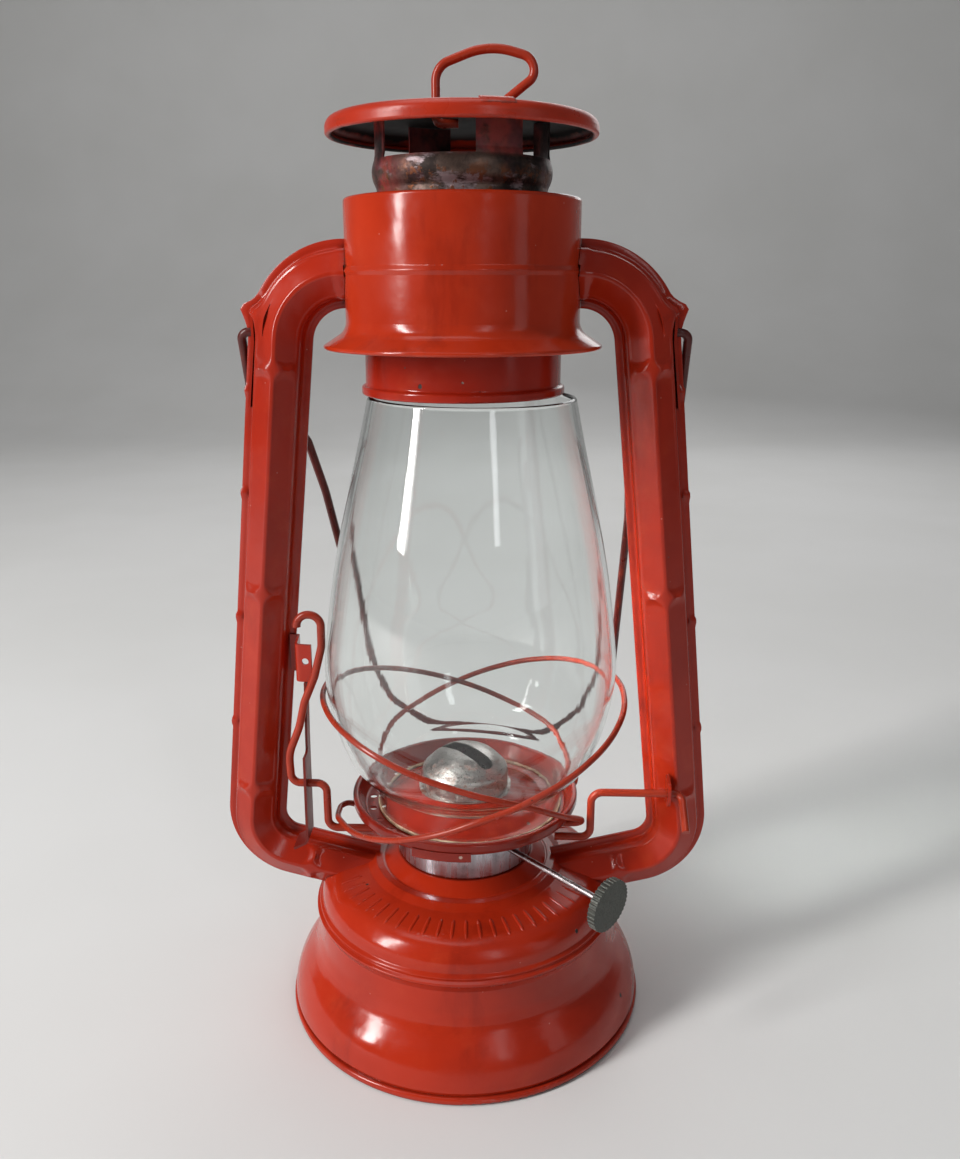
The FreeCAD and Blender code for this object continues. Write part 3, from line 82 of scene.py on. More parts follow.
def swept(rows, count, start=0):
    """Faces of a closed outline of count points carried through rows, with both ends capped."""
    faces = []
    for row in range(rows - 1):
        for k in range(count):
            a = start + row * count + k
            b = start + row * count + (k + 1) % count
            faces.append((a, b, b + count, a + count))
    last = start + (rows - 1) * count
    faces.append(tuple(range(start, start + count)))
    faces.append(tuple(range(last + count - 1, last - 1, -1)))
    return faces


def spline(points, per_span=6):
    """Points on a smooth curve through the given ones."""
    p = np.array(points, float)
    out = []
    for i in range(len(p) - 1):
        a = p[max(i - 1, 0)]
        b, c = p[i], p[i + 1]
        d = p[min(i + 2, len(p) - 1)]
        for k in range(per_span):
            t = k / per_span
            out.append(0.5 * (2 * b + (c - a) * t + (2 * a - 5 * b + 4 * c - d) * t ** 2
                              + (3 * b - a - 3 * c + d) * t ** 3))
    out.append(p[-1])
    return [tuple(float(v) for v in q) for q in out]


def offset(points, distance):
    """The open outline moved sideways by a distance, to the right of its direction."""
    p = np.array(points, float)
    way = np.gradient(p, axis=0)
    way /= np.linalg.norm(way, axis=1)[:, None]
    side = np.stack([way[:, 1], -way[:, 0]], axis=1)
    return [tuple(float(v) for v in q) for q in p + side * distance]


def smooth(value, low, high):
    """0 below low, 1 above high and an even curve between them."""
    t = min(1.0, max(0.0, (value - low) / (high - low)))
    return t * t * (3 - 2 * t)


# Material helpers

class Paint:
    """Builds one material's nodes."""

    def __init__(self, name):
        self.material = bpy.data.materials.new(name)
        self.material.use_nodes = True
        self.tree = self.material.node_tree
        self.shader = self.tree.nodes["Principled BSDF"]
        self.output = self.tree.nodes["Material Output"]
        self.place = self.add("ShaderNodeTexCoord").outputs["Object"]

    def add(self, kind, **settings):
        node = self.tree.nodes.new(kind)
        for key, value in settings.items():
            setattr(node, key, value)
        return node

    def put(self, socket, value):
        if isinstance(value, bpy.types.NodeSocket):
            self.tree.links.new(value, socket)
        elif isinstance(value, (tuple, list)) and len(value) == 3 and socket.type == "RGBA":
            socket.default_value = (*value, 1)
        else:
            socket.default_value = value

    def math(self, operation, a, b=0.0, clamp=False):
        node = self.add("ShaderNodeMath", operation=operation, use_clamp=clamp)
        self.put(node.inputs[0], a)
        self.put(node.inputs[1], b)
        return node.outputs[0]

    def stretch(self, x, y, z):
        """The object's coordinates, scaled on each axis."""
        node = self.add("ShaderNodeMapping")
        self.put(node.inputs["Vector"], self.place)
        node.inputs["Scale"].default_value = (x, y, z)
        return node.outputs[0]

    def noise(self, scale, detail=3.0, rough=0.55, vector=None):
        node = self.add("ShaderNodeTexNoise")
        self.put(node.inputs["Vector"], vector or self.place)
        node.inputs["Scale"].default_value = scale
        node.inputs["Detail"].default_value = detail
        node.inputs["Roughness"].default_value = rough
        return node.outputs["Fac"]

    def ramp(self, value, low, high, bottom=0.0, top=1.0):
        """The value taken from low..high to bottom..top, held at both ends."""
        node = self.add("ShaderNodeMapRange", interpolation_type="SMOOTHSTEP")
        self.put(node.inputs["Value"], value)
        node.inputs["From Min"].default_value = low
        node.inputs["From Max"].default_value = high
        node.inputs["To Min"].default_value = bottom
        node.inputs["To Max"].default_value = top
        return node.outputs["Result"]

    def mix(self, share, a, b, blend="MIX"):
        node = self.add("ShaderNodeMix", data_type="RGBA", blend_type=blend)
        self.put(node.inputs["Factor"], share)
        self.put(node.inputs[6], a)
        self.put(node.inputs[7], b)
        return node.outputs[2]

    def specks(self, scale, share, size):
        """Sparse round marks: share is how many cells hold one, size how far it reaches in a cell."""
        cells = self.add("ShaderNodeTexVoronoi")
        self.put(cells.inputs["Vector"], self.place)
        cells.inputs["Scale"].default_value = scale
        picked = self.add("ShaderNodeSeparateColor")
        self.put(picked.inputs[0], cells.outputs["Color"])
        keep = self.ramp(picked.outputs[0], share, share - 0.01)
        ragged = self.noise(scale * 3, 2.0)
        reach = self.math("MULTIPLY", self.ramp(picked.outputs[1], 0, 1, 0.35, 1.0), size)
        edge = self.math("ADD", cells.outputs["Distance"],
                         self.math("MULTIPLY", self.math("SUBTRACT", ragged, 0.5), size * 1.1))
        inside = self.ramp(self.math("DIVIDE", edge, reach), 1.0, 0.75)
        return self.math("MULTIPLY", keep, inside), picked.outputs[2]

    def edges(self, radius):
        """1 on edges that stand out, by comparing the surface with its own rounded form."""
        bevel = self.add("ShaderNodeBevel", samples=6)
        bevel.inputs["Radius"].default_value = radius
        true = self.add("ShaderNodeNewGeometry")
        dot = self.add("ShaderNodeVectorMath", operation="DOT_PRODUCT")
        self.put(dot.inputs[0], bevel.outputs[0])
        self.put(dot.inputs[1], true.outputs["Normal"])
        return self.ramp(dot.outputs["Value"], 0.985, 0.80)

    def crevice(self, distance):
        """1 where other faces stand close, as in a seam; used to paint shade into seams."""
        node = self.add("ShaderNodeAmbientOcclusion", samples=8)
        node.inputs["Distance"].default_value = distance
        return self.ramp(node.outputs["AO"], 0.75, 0.25)

    def bump(self, height, distance, normal=None):
        node = self.add("ShaderNodeBump")
        node.inputs["Distance"].default_value = distance
        self.put(node.inputs["Height"], height)
        if normal is not None:
            self.put(node.inputs["Normal"], normal)
        return node.outputs[0]

    def set(self, **values):
        for key, value in values.items():
            self.put(self.shader.inputs[key.replace("_", " ")], value)
        return self.material


def enamel(name, tone=(0.420, 0.024, 0.006), deep=(0.215, 0.009, 0.003), chips=0.05, wear=0.5,
           seam_shade=0.6, gloss=0.17):
    """Stoved gloss enamel on sheet steel: uneven film, painted shade in the seams, worn edges and chips.
    """
    p = Paint(name)
    cloud = p.ramp(p.noise(16.0, 4.0), 0.35, 0.7)
    colour = p.mix(p.math("MULTIPLY", cloud, 0.45), tone, deep)
    film = p.ramp(p.noise(70.0, 6.0, 0.65), 0.50, 0.8)
    colour = p.mix(p.math("MULTIPLY", film, 0.25), colour, (0.50, 0.060, 0.020))
    streak = p.ramp(p.noise(55.0, 5.0, 0.65, p.stretch(1.0, 1.0, 0.25)), 0.55, 0.75)
    colour = p.mix(p.math("MULTIPLY", streak, 0.35), colour, tuple(c * 0.55 for c in deep))
    # painted shade: the colour darkens where other faces stand close, in seams and recesses
    seam = p.math("MULTIPLY", p.crevice(0.004), seam_shade)
    colour = p.mix(seam, colour, (0.022, 0.004, 0.003))
    patchy = p.ramp(p.noise(130.0, 5.0, 0.7), 0.52, 0.66)
    rubbed = p.math("MULTIPLY", p.math("MULTIPLY", p.edges(0.0009), patchy), wear)
    colour = p.mix(rubbed, colour, (0.040, 0.015, 0.011))
    chip, kind = p.specks(150.0, chips, 0.16)
    bare = p.mix(p.ramp(kind, 0.55, 0.65), (0.022, 0.009, 0.007), (0.50, 0.36, 0.30))
    colour = p.mix(chip, colour, bare)
    dust, _ = p.specks(420.0, 0.04, 0.15)
    colour = p.mix(p.math("MULTIPLY", dust, 0.35), colour, (0.60, 0.36, 0.30))
    rough = p.math("ADD", p.ramp(p.noise(45.0, 4.0), 0.3, 0.7, gloss - 0.05, gloss + 0.10),
                   p.math("MULTIPLY", p.math("MAXIMUM", chip, rubbed), 0.35), clamp=True)
    waves = p.bump(p.noise(80.0, 2.0), 0.00022)
    skin = p.bump(p.noise(700.0, 2.0), 0.000014, waves)
    dents = p.bump(p.math("SUBTRACT", 1.0, chip), 0.00015, skin)
    return p.set(Base_Color=colour, Roughness=rough, Normal=dents, Coat_Weight=0.04,
                 Coat_Roughness=0.08, IOR=1.5, Specular_IOR_Level=0.34)


def steel(name, tone=(0.40, 0.41, 0.43), dark=(0.15, 0.14, 0.14), rust=0.2, rough=0.35,
          grain=(60.0, 60.0, 60.0), grain_depth=0.00003, metallic=1.0):
    """Bare or plated steel with a grain, stains, rust marks and painted shade in its seams."""
    p = Paint(name)
    lines = p.noise(30.0, 5.0, 0.6, p.stretch(*grain))
    colour = p.mix(p.ramp(lines, 0.35, 0.75), tone, tuple(c * 0.72 for c in tone))
    stain = p.ramp(p.noise(120.0, 5.0, 0.7), 0.50, 0.72)
    colour = p.mix(p.math("MULTIPLY", stain, 0.7), colour, dark)
    spots = p.ramp(p.noise(330.0, 4.0, 0.7), 0.56 - 0.1 * rust, 0.68 - 0.1 * rust)
    red = p.math("MULTIPLY", spots, p.ramp(p.noise(60.0, 3.0), 0.40, 0.62))
    red = p.math("MULTIPLY", red, min(1.0, rust * 2.2))
    colour = p.mix(red, colour, p.mix(p.noise(500.0), (0.20, 0.055, 0.018), (0.07, 0.022, 0.012)))
    # painted shade: darkened where other faces stand close, in seams
    seam = p.crevice(0.002)
    colour = p.mix(p.math("MULTIPLY", seam, 0.7), colour, (0.02, 0.015, 0.012))
    shine = p.math("ADD", p.ramp(lines, 0.3, 0.7, rough - 0.06, rough + 0.10),
                   p.math("MULTIPLY", red, 0.35), clamp=True)
    metal = p.math("SUBTRACT", metallic, p.math("MULTIPLY", red, 0.9), clamp=True)
    relief = p.bump(lines, grain_depth)
    pits = p.bump(p.math("SUBTRACT", 1.0, red), 0.00006, relief)
    return p.set(Base_Color=colour, Roughness=shine, Metallic=metal, Normal=pits)


def burnt(name):
    """Enamel burnt by the flame: bare bronze and black steel, red left on one side and the rim, the
    other side darkened with soot and painted shade.
    """
    p = Paint(name)
    place = p.add("ShaderNodeSeparateXYZ")
    p.put(place.inputs[0], p.place)
    patches = p.noise(75.0, 7.0, 0.68)
    bands = p.noise(26.0, 6.0, 0.7, p.stretch(1.0, 1.0, 2.4))
    colour = p.mix(p.ramp(patches, 0.40, 0.60), (0.020, 0.012, 0.010), (0.130, 0.085, 0.068))
    colour = p.mix(p.ramp(bands, 0.54, 0.60), colour, (0.26, 0.205, 0.215))
    violet = p.ramp(p.noise(48.0, 5.0, 0.6), 0.50, 0.62)
    colour = p.mix(p.math("MULTIPLY", violet, 0.6), colour, (0.120, 0.040, 0.052))
    side = p.ramp(place.outputs["X"], -0.014, -0.031)
    rim = p.ramp(place.outputs["Z"], 0.3440, 0.3465)
    kept = p.math("MULTIPLY", p.math("MAXIMUM", side, p.math("MULTIPLY", rim, 0.85)),
                  p.ramp(p.noise(60.0, 6.0, 0.7), 0.36, 0.50))
    shade = p.mix(p.ramp(p.noise(90.0, 4.0), 0.4, 0.6), (0.30, 0.028, 0.022), (0.150, 0.018, 0.024))
    colour = p.mix(kept, colour, shade)
    rust = p.math("MULTIPLY", p.ramp(p.noise(210.0, 5.0, 0.7), 0.50, 0.60),
                  p.ramp(place.outputs["Z"], 0.3445, 0.3385, 0.15, 1.0))
    colour = p.mix(p.math("MULTIPLY", rust, 0.9), colour, (0.150, 0.045, 0.014))
    # painted shade: soot black grows towards +X, the side away from the key lamp
    shade_to_right = p.ramp(place.outputs["X"], -0.01, 0.03, 0, 0.16)
    soot_and_shade = p.ramp(p.math("ADD", p.noise(22.0, 5.0, 0.65), shade_to_right), 0.54, 0.66)
    colour = p.mix(p.math("MULTIPLY", soot_and_shade, 0.9), colour, (0.007, 0.005, 0.005))
    rough = p.ramp(patches, 0.3, 0.7, 0.55, 0.30)
    metal = p.math("MULTIPLY", p.math("SUBTRACT", 1.0, kept), 0.7)
    relief = p.bump(patches, 0.00018)
    fine = p.bump(rust, 0.00006, relief)
    return p.set(Base_Color=colour, Roughness=rough, Metallic=metal, Normal=fine)


def soot_and_shade_enamel(name):
    """Red enamel blackened inside and under the crown, on faces that point down: soot there, and painted
    shade.
    """
    p = Paint(name)
    height = p.add("ShaderNodeSeparateXYZ")
    p.put(height.inputs[0], p.place)
    normal = p.add("ShaderNodeNewGeometry")
    facing = p.add("ShaderNodeSeparateXYZ")
    p.put(facing.inputs[0], normal.outputs["Normal"])
    # painted shade: faces pointing down inside the crown's edge take the soot-black colour, soot and
    # shade together
    under = p.ramp(facing.outputs["Z"], 0.12, -0.25)
    span = p.math("POWER", p.math("ADD", p.math("POWER", height.outputs["X"], 2.0),
                                  p.math("POWER", height.outputs["Y"], 2.0)), 0.5)
    ragged = p.math("ADD", span, p.math("MULTIPLY", p.noise(60.0, 4.0, 0.6), 0.005))
    under = p.math("MULTIPLY", under, p.ramp(ragged, CROWN_EDGE + 0.0020, CROWN_EDGE + 0.0005))
    cloud = p.ramp(p.noise(22.0, 5.0, 0.6), 0.35, 0.7)
    colour = p.mix(p.math("MULTIPLY", cloud, 0.35), (0.42, 0.026, 0.007), (0.22, 0.012, 0.004))
    patchy = p.ramp(p.noise(75.0, 6.0, 0.7), 0.50, 0.60)
    rubbed = p.math("MULTIPLY", p.edges(0.0016), patchy)
    colour = p.mix(rubbed, colour, (0.045, 0.022, 0.017))
    chip, _ = p.specks(170.0, 0.10, 0.18)
    colour = p.mix(chip, colour, (0.020, 0.010, 0.008))
    ash = p.ramp(p.noise(85.0, 5.0, 0.65), 0.45, 0.70)
    soot_and_shade = p.mix(ash, (0.003, 0.0025, 0.0025), (0.012, 0.011, 0.010))
    colour = p.mix(under, colour, soot_and_shade)
    rough = p.math("ADD", p.math("MULTIPLY", under, 0.45),
                   p.ramp(p.noise(60.0), 0.3, 0.7, 0.24, 0.38))
    relief = p.bump(p.noise(110.0, 3.0), 0.00012)
    return p.set(Base_Color=colour, Roughness=rough, Normal=relief, Coat_Weight=0.04,
                 Coat_Roughness=0.2, Specular_IOR_Level=0.34)


def glass(name):
    """Clear pressed glass with faint upright draw lines; lamps shine through it."""
    p = Paint(name)
    angle = p.add("ShaderNodeSeparateXYZ")
    p.put(angle.inputs[0], p.place)
    turn = p.math("ARCTAN2", angle.outputs["Y"], angle.outputs["X"])
    strip = p.add("ShaderNodeCombineXYZ")
    p.put(strip.inputs[0], turn)
    p.put(strip.inputs[2], p.math("MULTIPLY", angle.outputs["Z"], 1.5))
    lines = p.noise(26.0, 4.0, 0.6, strip.outputs[0])
    swell = p.noise(3.2, 2.0, 0.5, strip.outputs[0])
    relief = p.bump(swell, 0.00016)
    draw = p.bump(lines, 0.000012, relief)
    haze = p.ramp(p.noise(34.0, 5.0, 0.65), 0.45, 0.75, 0.0, 0.02)
    p.set(Base_Color=(0.965, 0.985, 0.978), Roughness=haze, IOR=1.46, Normal=draw,
          Transmission_Weight=1.0)
    clear = p.add("ShaderNodeBsdfTransparent")
    clear.inputs["Color"].default_value = (0.93, 0.95, 0.94, 1)
    path = p.add("ShaderNodeLightPath")
    blend = p.add("ShaderNodeMixShader")
    p.put(blend.inputs[0], path.outputs["Is Shadow Ray"])
    p.put(blend.inputs[1], p.shader.outputs[0])
    p.put(blend.inputs[2], clear.outputs[0])
    p.put(p.output.inputs["Surface"], blend.outputs[0])
    return p.material


def cotton(name):
    """Flat woven wick, charred at its tip."""
    p = Paint(name)
    weave = p.add("ShaderNodeTexWave", wave_type="BANDS", bands_direction="X")
    p.put(weave.inputs["Vector"], p.place)
    weave.inputs["Scale"].default_value = 300.0
    cross = p.add("ShaderNodeTexWave", wave_type="BANDS", bands_direction="Z")
    p.put(cross.inputs["Vector"], p.place)
    cross.inputs["Scale"].default_value = 260.0
    cloth = p.math("MULTIPLY", weave.outputs["Fac"], cross.outputs["Fac"])
    colour = p.mix(p.ramp(cloth, 0.1, 0.7), (0.42, 0.34, 0.24), (0.72, 0.64, 0.52))
    height = p.add("ShaderNodeSeparateXYZ")
    p.put(height.inputs[0], p.place)
    char = p.ramp(p.math("ADD", height.outputs["Z"], p.math("MULTIPLY", p.noise(400.0), 0.003)),
                  0.1045, 0.1100)
    colour = p.mix(char, colour, (0.012, 0.010, 0.009))
    return p.set(Base_Color=colour, Roughness=0.95, Normal=p.bump(cloth, 0.0003))


red = enamel("enamel_red", chips=0.06, wear=0.75)
red_tube = enamel("enamel_tubes", tone=(0.390, 0.021, 0.006), chips=0.035, wear=0.8, seam_shade=0.8)
red_drum = enamel("enamel_drum", tone=(0.460, 0.032, 0.007), chips=0.02, wear=0.35, seam_shade=0.5)
red_collar = enamel("enamel_collar", tone=(0.340, 0.017, 0.006), deep=(0.170, 0.008, 0.004),
                    chips=0.30, wear=0.9)
red_wire = enamel("enamel_wire", tone=(0.360, 0.030, 0.010), deep=(0.110, 0.010, 0.006), chips=0.20,
                  wear=0.6, gloss=0.26)
red_bail = enamel("enamel_bail", tone=(0.100, 0.010, 0.007), deep=(0.020, 0.005, 0.005), chips=0.35,
                  wear=0.9, gloss=0.30)
# painted shade: a darker copy of the red enamel for the plate, which stands in shade under the globe
red_plate_shaded = enamel("enamel_plate_shaded", tone=(0.220, 0.013, 0.006), deep=(0.110, 0.007, 0.004), chips=0.12,
                   wear=0.9)
# painted shade and reflection: a darker, rougher copy of the red enamel, standing in for the dark tube
# the bracket strap reflects
red_strap_shaded = enamel("enamel_strap_shaded", tone=(0.190, 0.012, 0.006), deep=(0.070, 0.005, 0.004), chips=0.25,
                   wear=1.0, gloss=0.40)
soot_and_shade_red = soot_and_shade_enamel("enamel_crown")
burnt_band = burnt("burnt_steel")
zinc = steel("zinc_band", tone=(0.55, 0.59, 0.64), dark=(0.20, 0.21, 0.23), rust=0.03, rough=0.27,
             grain=(9.0, 9.0, 0.35), grain_depth=0.00002)
dome_steel = steel("dome_steel", tone=(0.50, 0.47, 0.45), dark=(0.15, 0.12, 0.11), rust=0.5,
                   rough=0.30)
shaft_steel = steel("shaft_steel", tone=(0.42, 0.38, 0.39), dark=(0.18, 0.16, 0.17), rust=0.08,
                    rough=0.24, grain=(6.0, 6.0, 6.0), grain_depth=0.000006)
knob_steel = steel("knob_steel", tone=(0.085, 0.088, 0.078), dark=(0.045, 0.047, 0.042), rust=0.05,
                   rough=0.5, metallic=0.7)
spring_steel = steel("spring_steel", tone=(0.22, 0.20, 0.19), dark=(0.05, 0.04, 0.04), rust=0.6,
                     rough=0.45)
clear_glass = glass("clear_glass")
wick_cloth = cotton("wick_cotton")

FINISH = {
    red: ["fount_skirt", "fount_floor", "fount_dome", "filler_neck", "filler_cap"],
    red_tube: ["bail_ear_left", "bail_ear_right", "tube_left_front", "tube_left_rear",
               "tube_right_front", "tube_right_rear", "lever_catch", "arm_bracket"],
    red_strap_shaded: ["lever_bracket"],
    red_drum: ["air_chamber"],
    red_collar: ["chimney_collar"],
    red_wire: ["guard_ring_a", "guard_ring_b", "lift_lever", "lift_arm", "lift_ring"],
    red_bail: ["bail"],
    red_plate_shaded: ["globe_plate", "plate_guide"],
    soot_and_shade_red: ["crown"],
    burnt_band: ["chimney"],
    zinc: ["burner_band", "burner_deck"],
    dome_steel: ["burner_dome", "wick_tube", "fount_collar"],
    shaft_steel: ["wick_shaft", "wick_wheels"],
    knob_steel: ["wick_knob"],
    spring_steel: ["chimney_spring"],
    clear_glass: ["globe"],
    wick_cloth: ["wick"],
}
for material, names in FINISH.items():
    for name in names:
        for place in nodes[name].material_slots:
            place.material = material


# Glass globe: radius and height of its outer face in millimetres, and how it stands

GLOBE = [(38.8, 91.4), (38.85, 97), (38.9, 101), (40.2, 103.8), (43.5, 106.2), (49.0, 112),
         (53.0, 120), (56.4, 130), (59.0, 143), (59.7, 153), (59.2, 162), (57.75, 174),
         (56.1, 186), (54.1, 198), (51.7, 210), (49.05, 222), (46.3, 234), (43.5, 246),
         (40.9, 258), (40.1, 261.6)]
GLASS_GAUGE = 2.2
GLOBE_SHIFT, GLOBE_LEAN, GLOBE_FOOT = 1.9, math.radians(0.5), 91.0


def make_globe():
    outer = spline(GLOBE, 5)
    inner = offset(outer, -GLASS_GAUGE)
    profile = outer + [(39.5, 262.3), (38.6, 262.3)] + inner[::-1] + [(37.2, 90.9), (38.2, 90.9)]
    verts, faces = lathe(profile, 224)
    across, along = math.sin(GLOBE_LEAN), math.cos(GLOBE_LEAN)
    placed = []
    for x, y, z in verts:
        rise = z - GLOBE_FOOT
        placed.append((GLOBE_SHIFT + x * along + rise * across, y,
                       GLOBE_FOOT + rise * along - x * across))
    globe = add_mesh("globe_glass", placed, faces, clear_glass, "carriage", sharp=60)
    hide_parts("globe")


make_globe()


# Stamped side tubes, in millimetres: corners of the route are (x, z, bend)

TUBE_ROUTE = [(40.8, 307.0, 0.0), (66.8, 307.0, 25.3), (92.0, 68.8, 19.5), (40.0, 55.2, 0.0)]
HALF, OUTER_FLANGE, INNER_FLANGE, GAUGE = 8.85, 12.5, -12.3, 0.65
FRONT_DEPTH, REAR_DEPTH = 12.0, 11.4
PANEL_DEPTH, PANEL_MIDDLE, PANEL_HALF = 0.34, 35.0, 27
CREASES = (272.3, 184.5, 98.6)
EAR_TIP, EAR_RISE, EAR_FALL, EAR_REACH, EAR_ROOT = 289.9, 4.5, 6.5, 5.0, 5.0
DRUM_BEAD, DRUM_FITTING = 308.0, 26.0


def tube_route(step=1.3):
    """(point, direction, length so far) down the middle of a tube."""
    corners = [Vector(c[:2]) for c in TUBE_ROUTE]
    out = []
    run = 0.0
    start = corners[0]
    for index in range(1, len(corners)):
        corner = corners[index]
        way = (corner - corners[index - 1]).normalized()
        if index < len(corners) - 1:
            after = (corners[index + 1] - corner).normalized()
            turn = way.angle(after)
            bend = TUBE_ROUTE[index][2]
            reach = bend * math.tan(turn / 2)
            stop = corner - way * reach
        else:
            stop = corner
        length = (stop - start).length
        count = max(2, round(length / step))
        for k in range(count):
            out.append((start + way * (length * k / count), way.copy(), run + length * k / count))
        run += length
        if index == len(corners) - 1:
            out.append((stop, way.copy(), run))
            break
        inward = Vector((way.y, -way.x))
        centre = stop + inward * bend
        arc = bend * turn
        count = max(4, round(arc / step))
        for k in range(count):
            angle = turn * k / count
            spoke = -inward
            spoke.rotate(Matrix.Rotation(-angle, 2))
            heading = way.copy()
            heading.rotate(Matrix.Rotation(-angle, 2))
            out.append((centre + spoke * bend, heading, run + arc * k / count))
        run += arc
        start = corner + after * reach
    return out


def crease_mask(s, phi, marks):
    """1 on a pressed panel, 0 on the round bands between panels; panel ends are rounded."""
    spread = abs(abs(phi) - PANEL_MIDDLE) / PANEL_HALF
    reach = 0.9 + 1.9 * spread ** 2
    near = min(abs(s - mark) for mark in marks)
    return smooth(near, reach - 0.7, reach + 1.2)


def drum_face(z):
    """Radius of the drum's outer face at a height, a hair outside it."""
    if abs(z - DRUM_BEAD) < 1.9:
        return 44.25
    return 43.45 if z > DRUM_BEAD else 43.85


def tube_section(s, depth, marks, ear, clinches):
    """Outline of one tube half at a length along it: u outward, v away from the seam."""
    centre = depth - HALF
    bulge = 0.0
    for mark in clinches:
        bulge = max(bulge, 1 - smooth(abs(s - mark), 0.8, 2.4))
    tip = OUTER_FLANGE + 0.5 * bulge
    lift = GAUGE + 0.45 * bulge
    out = [(tip, 0.06), (tip, lift - 0.2), (tip - 0.25, lift), (10.4, lift), (9.7, GAUGE + 0.08),
           (9.2, GAUGE + 0.4), (8.95, GAUGE + 1.0)]
    for k in range(73):
        phi = 90.0 - 2.5 * k
        radius = HALF
        side = abs(phi)
        if side < 64.0:
            flat = (HALF - PANEL_DEPTH) * math.cos(math.radians(PANEL_HALF)) \
                / math.cos(math.radians(side - PANEL_MIDDLE))
            mask = smooth(side, 2.4, 6.4) * (1 - smooth(side, 60.5, 64.0))
            radius = HALF - (HALF - flat) * mask * crease_mask(s, phi, marks)
        angle = math.radians(phi)
        out.append((radius * math.sin(angle), centre + radius * math.cos(angle)))
    inner = INNER_FLANGE
    out += [(-8.95, GAUGE + 1.0), (-9.2, GAUGE + 0.4), (-9.7, GAUGE + 0.08), (-10.4, GAUGE),
            (inner + 0.25, GAUGE), (inner, GAUGE - 0.2), (inner, 0.06)]
    return flared(out, centre, tip, ear) if ear > 0 else out


def flared(outline, centre, tip, ear):
    """The outline with its outer flange drawn out to the pointed flare over the bail's ear."""
    top = centre + HALF * math.cos(math.asin(EAR_ROOT / HALF))
    grow = min(1.0, ear * 1.1)
    shaped = []
    for u, v in outline:
        if u > EAR_ROOT:
            t = (u - EAR_ROOT) / (tip - EAR_ROOT)
            line = top + (GAUGE + 0.4 - top) * t
            wide = EAR_ROOT + (tip + EAR_REACH * ear - EAR_ROOT) * t
            u = u + (wide - u) * grow * 0.92
            if v > GAUGE:
                v = v + (max(line, GAUGE) - v) * grow * 0.85
        shaped.append((u, v))
    return shaped


def length_at(route, height):
    """Length along the tube's straight run where it passes a height."""
    straight = [(abs(spot.y - height), s) for spot, way, s in route if abs(way.y) > 0.9]
    return min(straight)[1]


def ear_share(z, way):
    """How far the flange is drawn out at a height: 1 at the tip of the ear, 0 away from it."""
    if way.y >= -0.55:
        return 0.0
    away = (EAR_TIP - z) / EAR_FALL if z < EAR_TIP else (z - EAR_TIP) / EAR_RISE
    return max(0.0, 1 - away)


def make_tube(side, front):
    """One stamped half of a side tube: side is 1 for the right, -1 for the left."""
    route = tube_route()
    high, middle, low = [length_at(route, height) for height in CREASES]
    end = route[-1][2]
    marks = [high, middle, low, -4.0, end - 27.0, end + 6.0]
    clinches = [high + 10, middle + 14, middle - 38, low - 26]
    depth = FRONT_DEPTH if front else REAR_DEPTH
    sign = -1 if front else 1
    start = TUBE_ROUTE[0][0]
    bend_start = TUBE_ROUTE[1][0] - TUBE_ROUTE[1][2] * 0.9
    verts = []
    for spot, way, s in route:
        outline = tube_section(s, depth, marks, ear_share(spot.y, way), clinches)
        lip = 0.5 * (1 - smooth(s, 4.5, 5.6))
        outward = Vector((-way.y, way.x))
        for u, v in outline:
            if lip and abs(u) < 9.4:
                u, v = u * (1 + lip / 9), v + lip * max(0.0, (v - 1.5) / depth)
            point = spot + outward * u
            x = point.x
            if s < DRUM_FITTING:
                seat = math.sqrt(max(0.0, drum_face(point.y) ** 2 - v * v))
                if x < 44.0:
                    x = seat + (x - start) * (bend_start - seat) / (bend_start - start)
                x = max(x, seat)
            verts.append((side * x, sign * v, point.y))
    hand, half = "right" if side > 0 else "left", "front" if front else "rear"
    faces = swept(len(route), len(outline))
    tube = add_mesh("%s_tube_%s" % (hand, half), verts, faces, red_tube, "frame", sharp=42)
    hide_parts("tube_%s_%s" % (hand, half))


for side in (-1, 1):
    for front in (True, False):
        make_tube(side, front)


# Small pressed and bent details

def dome_height(r):
    """Height of the fount dome's outer face at a radius: a straight slope, then the shoulder's bend."""
    if r < 53.6:
        return 62.5 - (r - 42.5) * 0.195
    return 49.5 + math.sqrt(11.0 ** 2 - (r - 51.5) ** 2)


def make_dome_beads():
    """Ring of pressed radial beads round the dome, clear of the tubes and the filler."""
    verts = []
    faces = []
    beads, around, stations = 60, 12, 11
    first, length = 46.3, 9.4
    for index in range(beads):
        azimuth = 6.0 * index + 3.0
        to_tube = min(azimuth % 180, 180 - azimuth % 180)
        if to_tube < 18 or abs(azimuth - 90) < 17:
            continue
        angle = math.radians(azimuth)
        out = Vector((math.cos(angle), math.sin(angle)))
        across = Vector((-math.sin(angle), math.cos(angle)))
        start = len(verts)
        for k in range(stations):
            t = k / (stations - 1)
            fade = math.sqrt(max(0.0, 1 - abs(2 * t - 1) ** 6))
            half, height = 0.15 + 0.60 * fade, 0.08 + 0.34 * fade
            r = first + length * t
            for m in range(around):
                turn = 2 * math.pi * m / around
                spot = out * r + across * (half * math.cos(turn))
                verts.append((spot.x, spot.y, dome_height(r) - 0.03 + height * math.sin(turn)))
        faces += swept(stations, around, start)
    add_mesh("dome_beads", verts, faces, red, "frame")


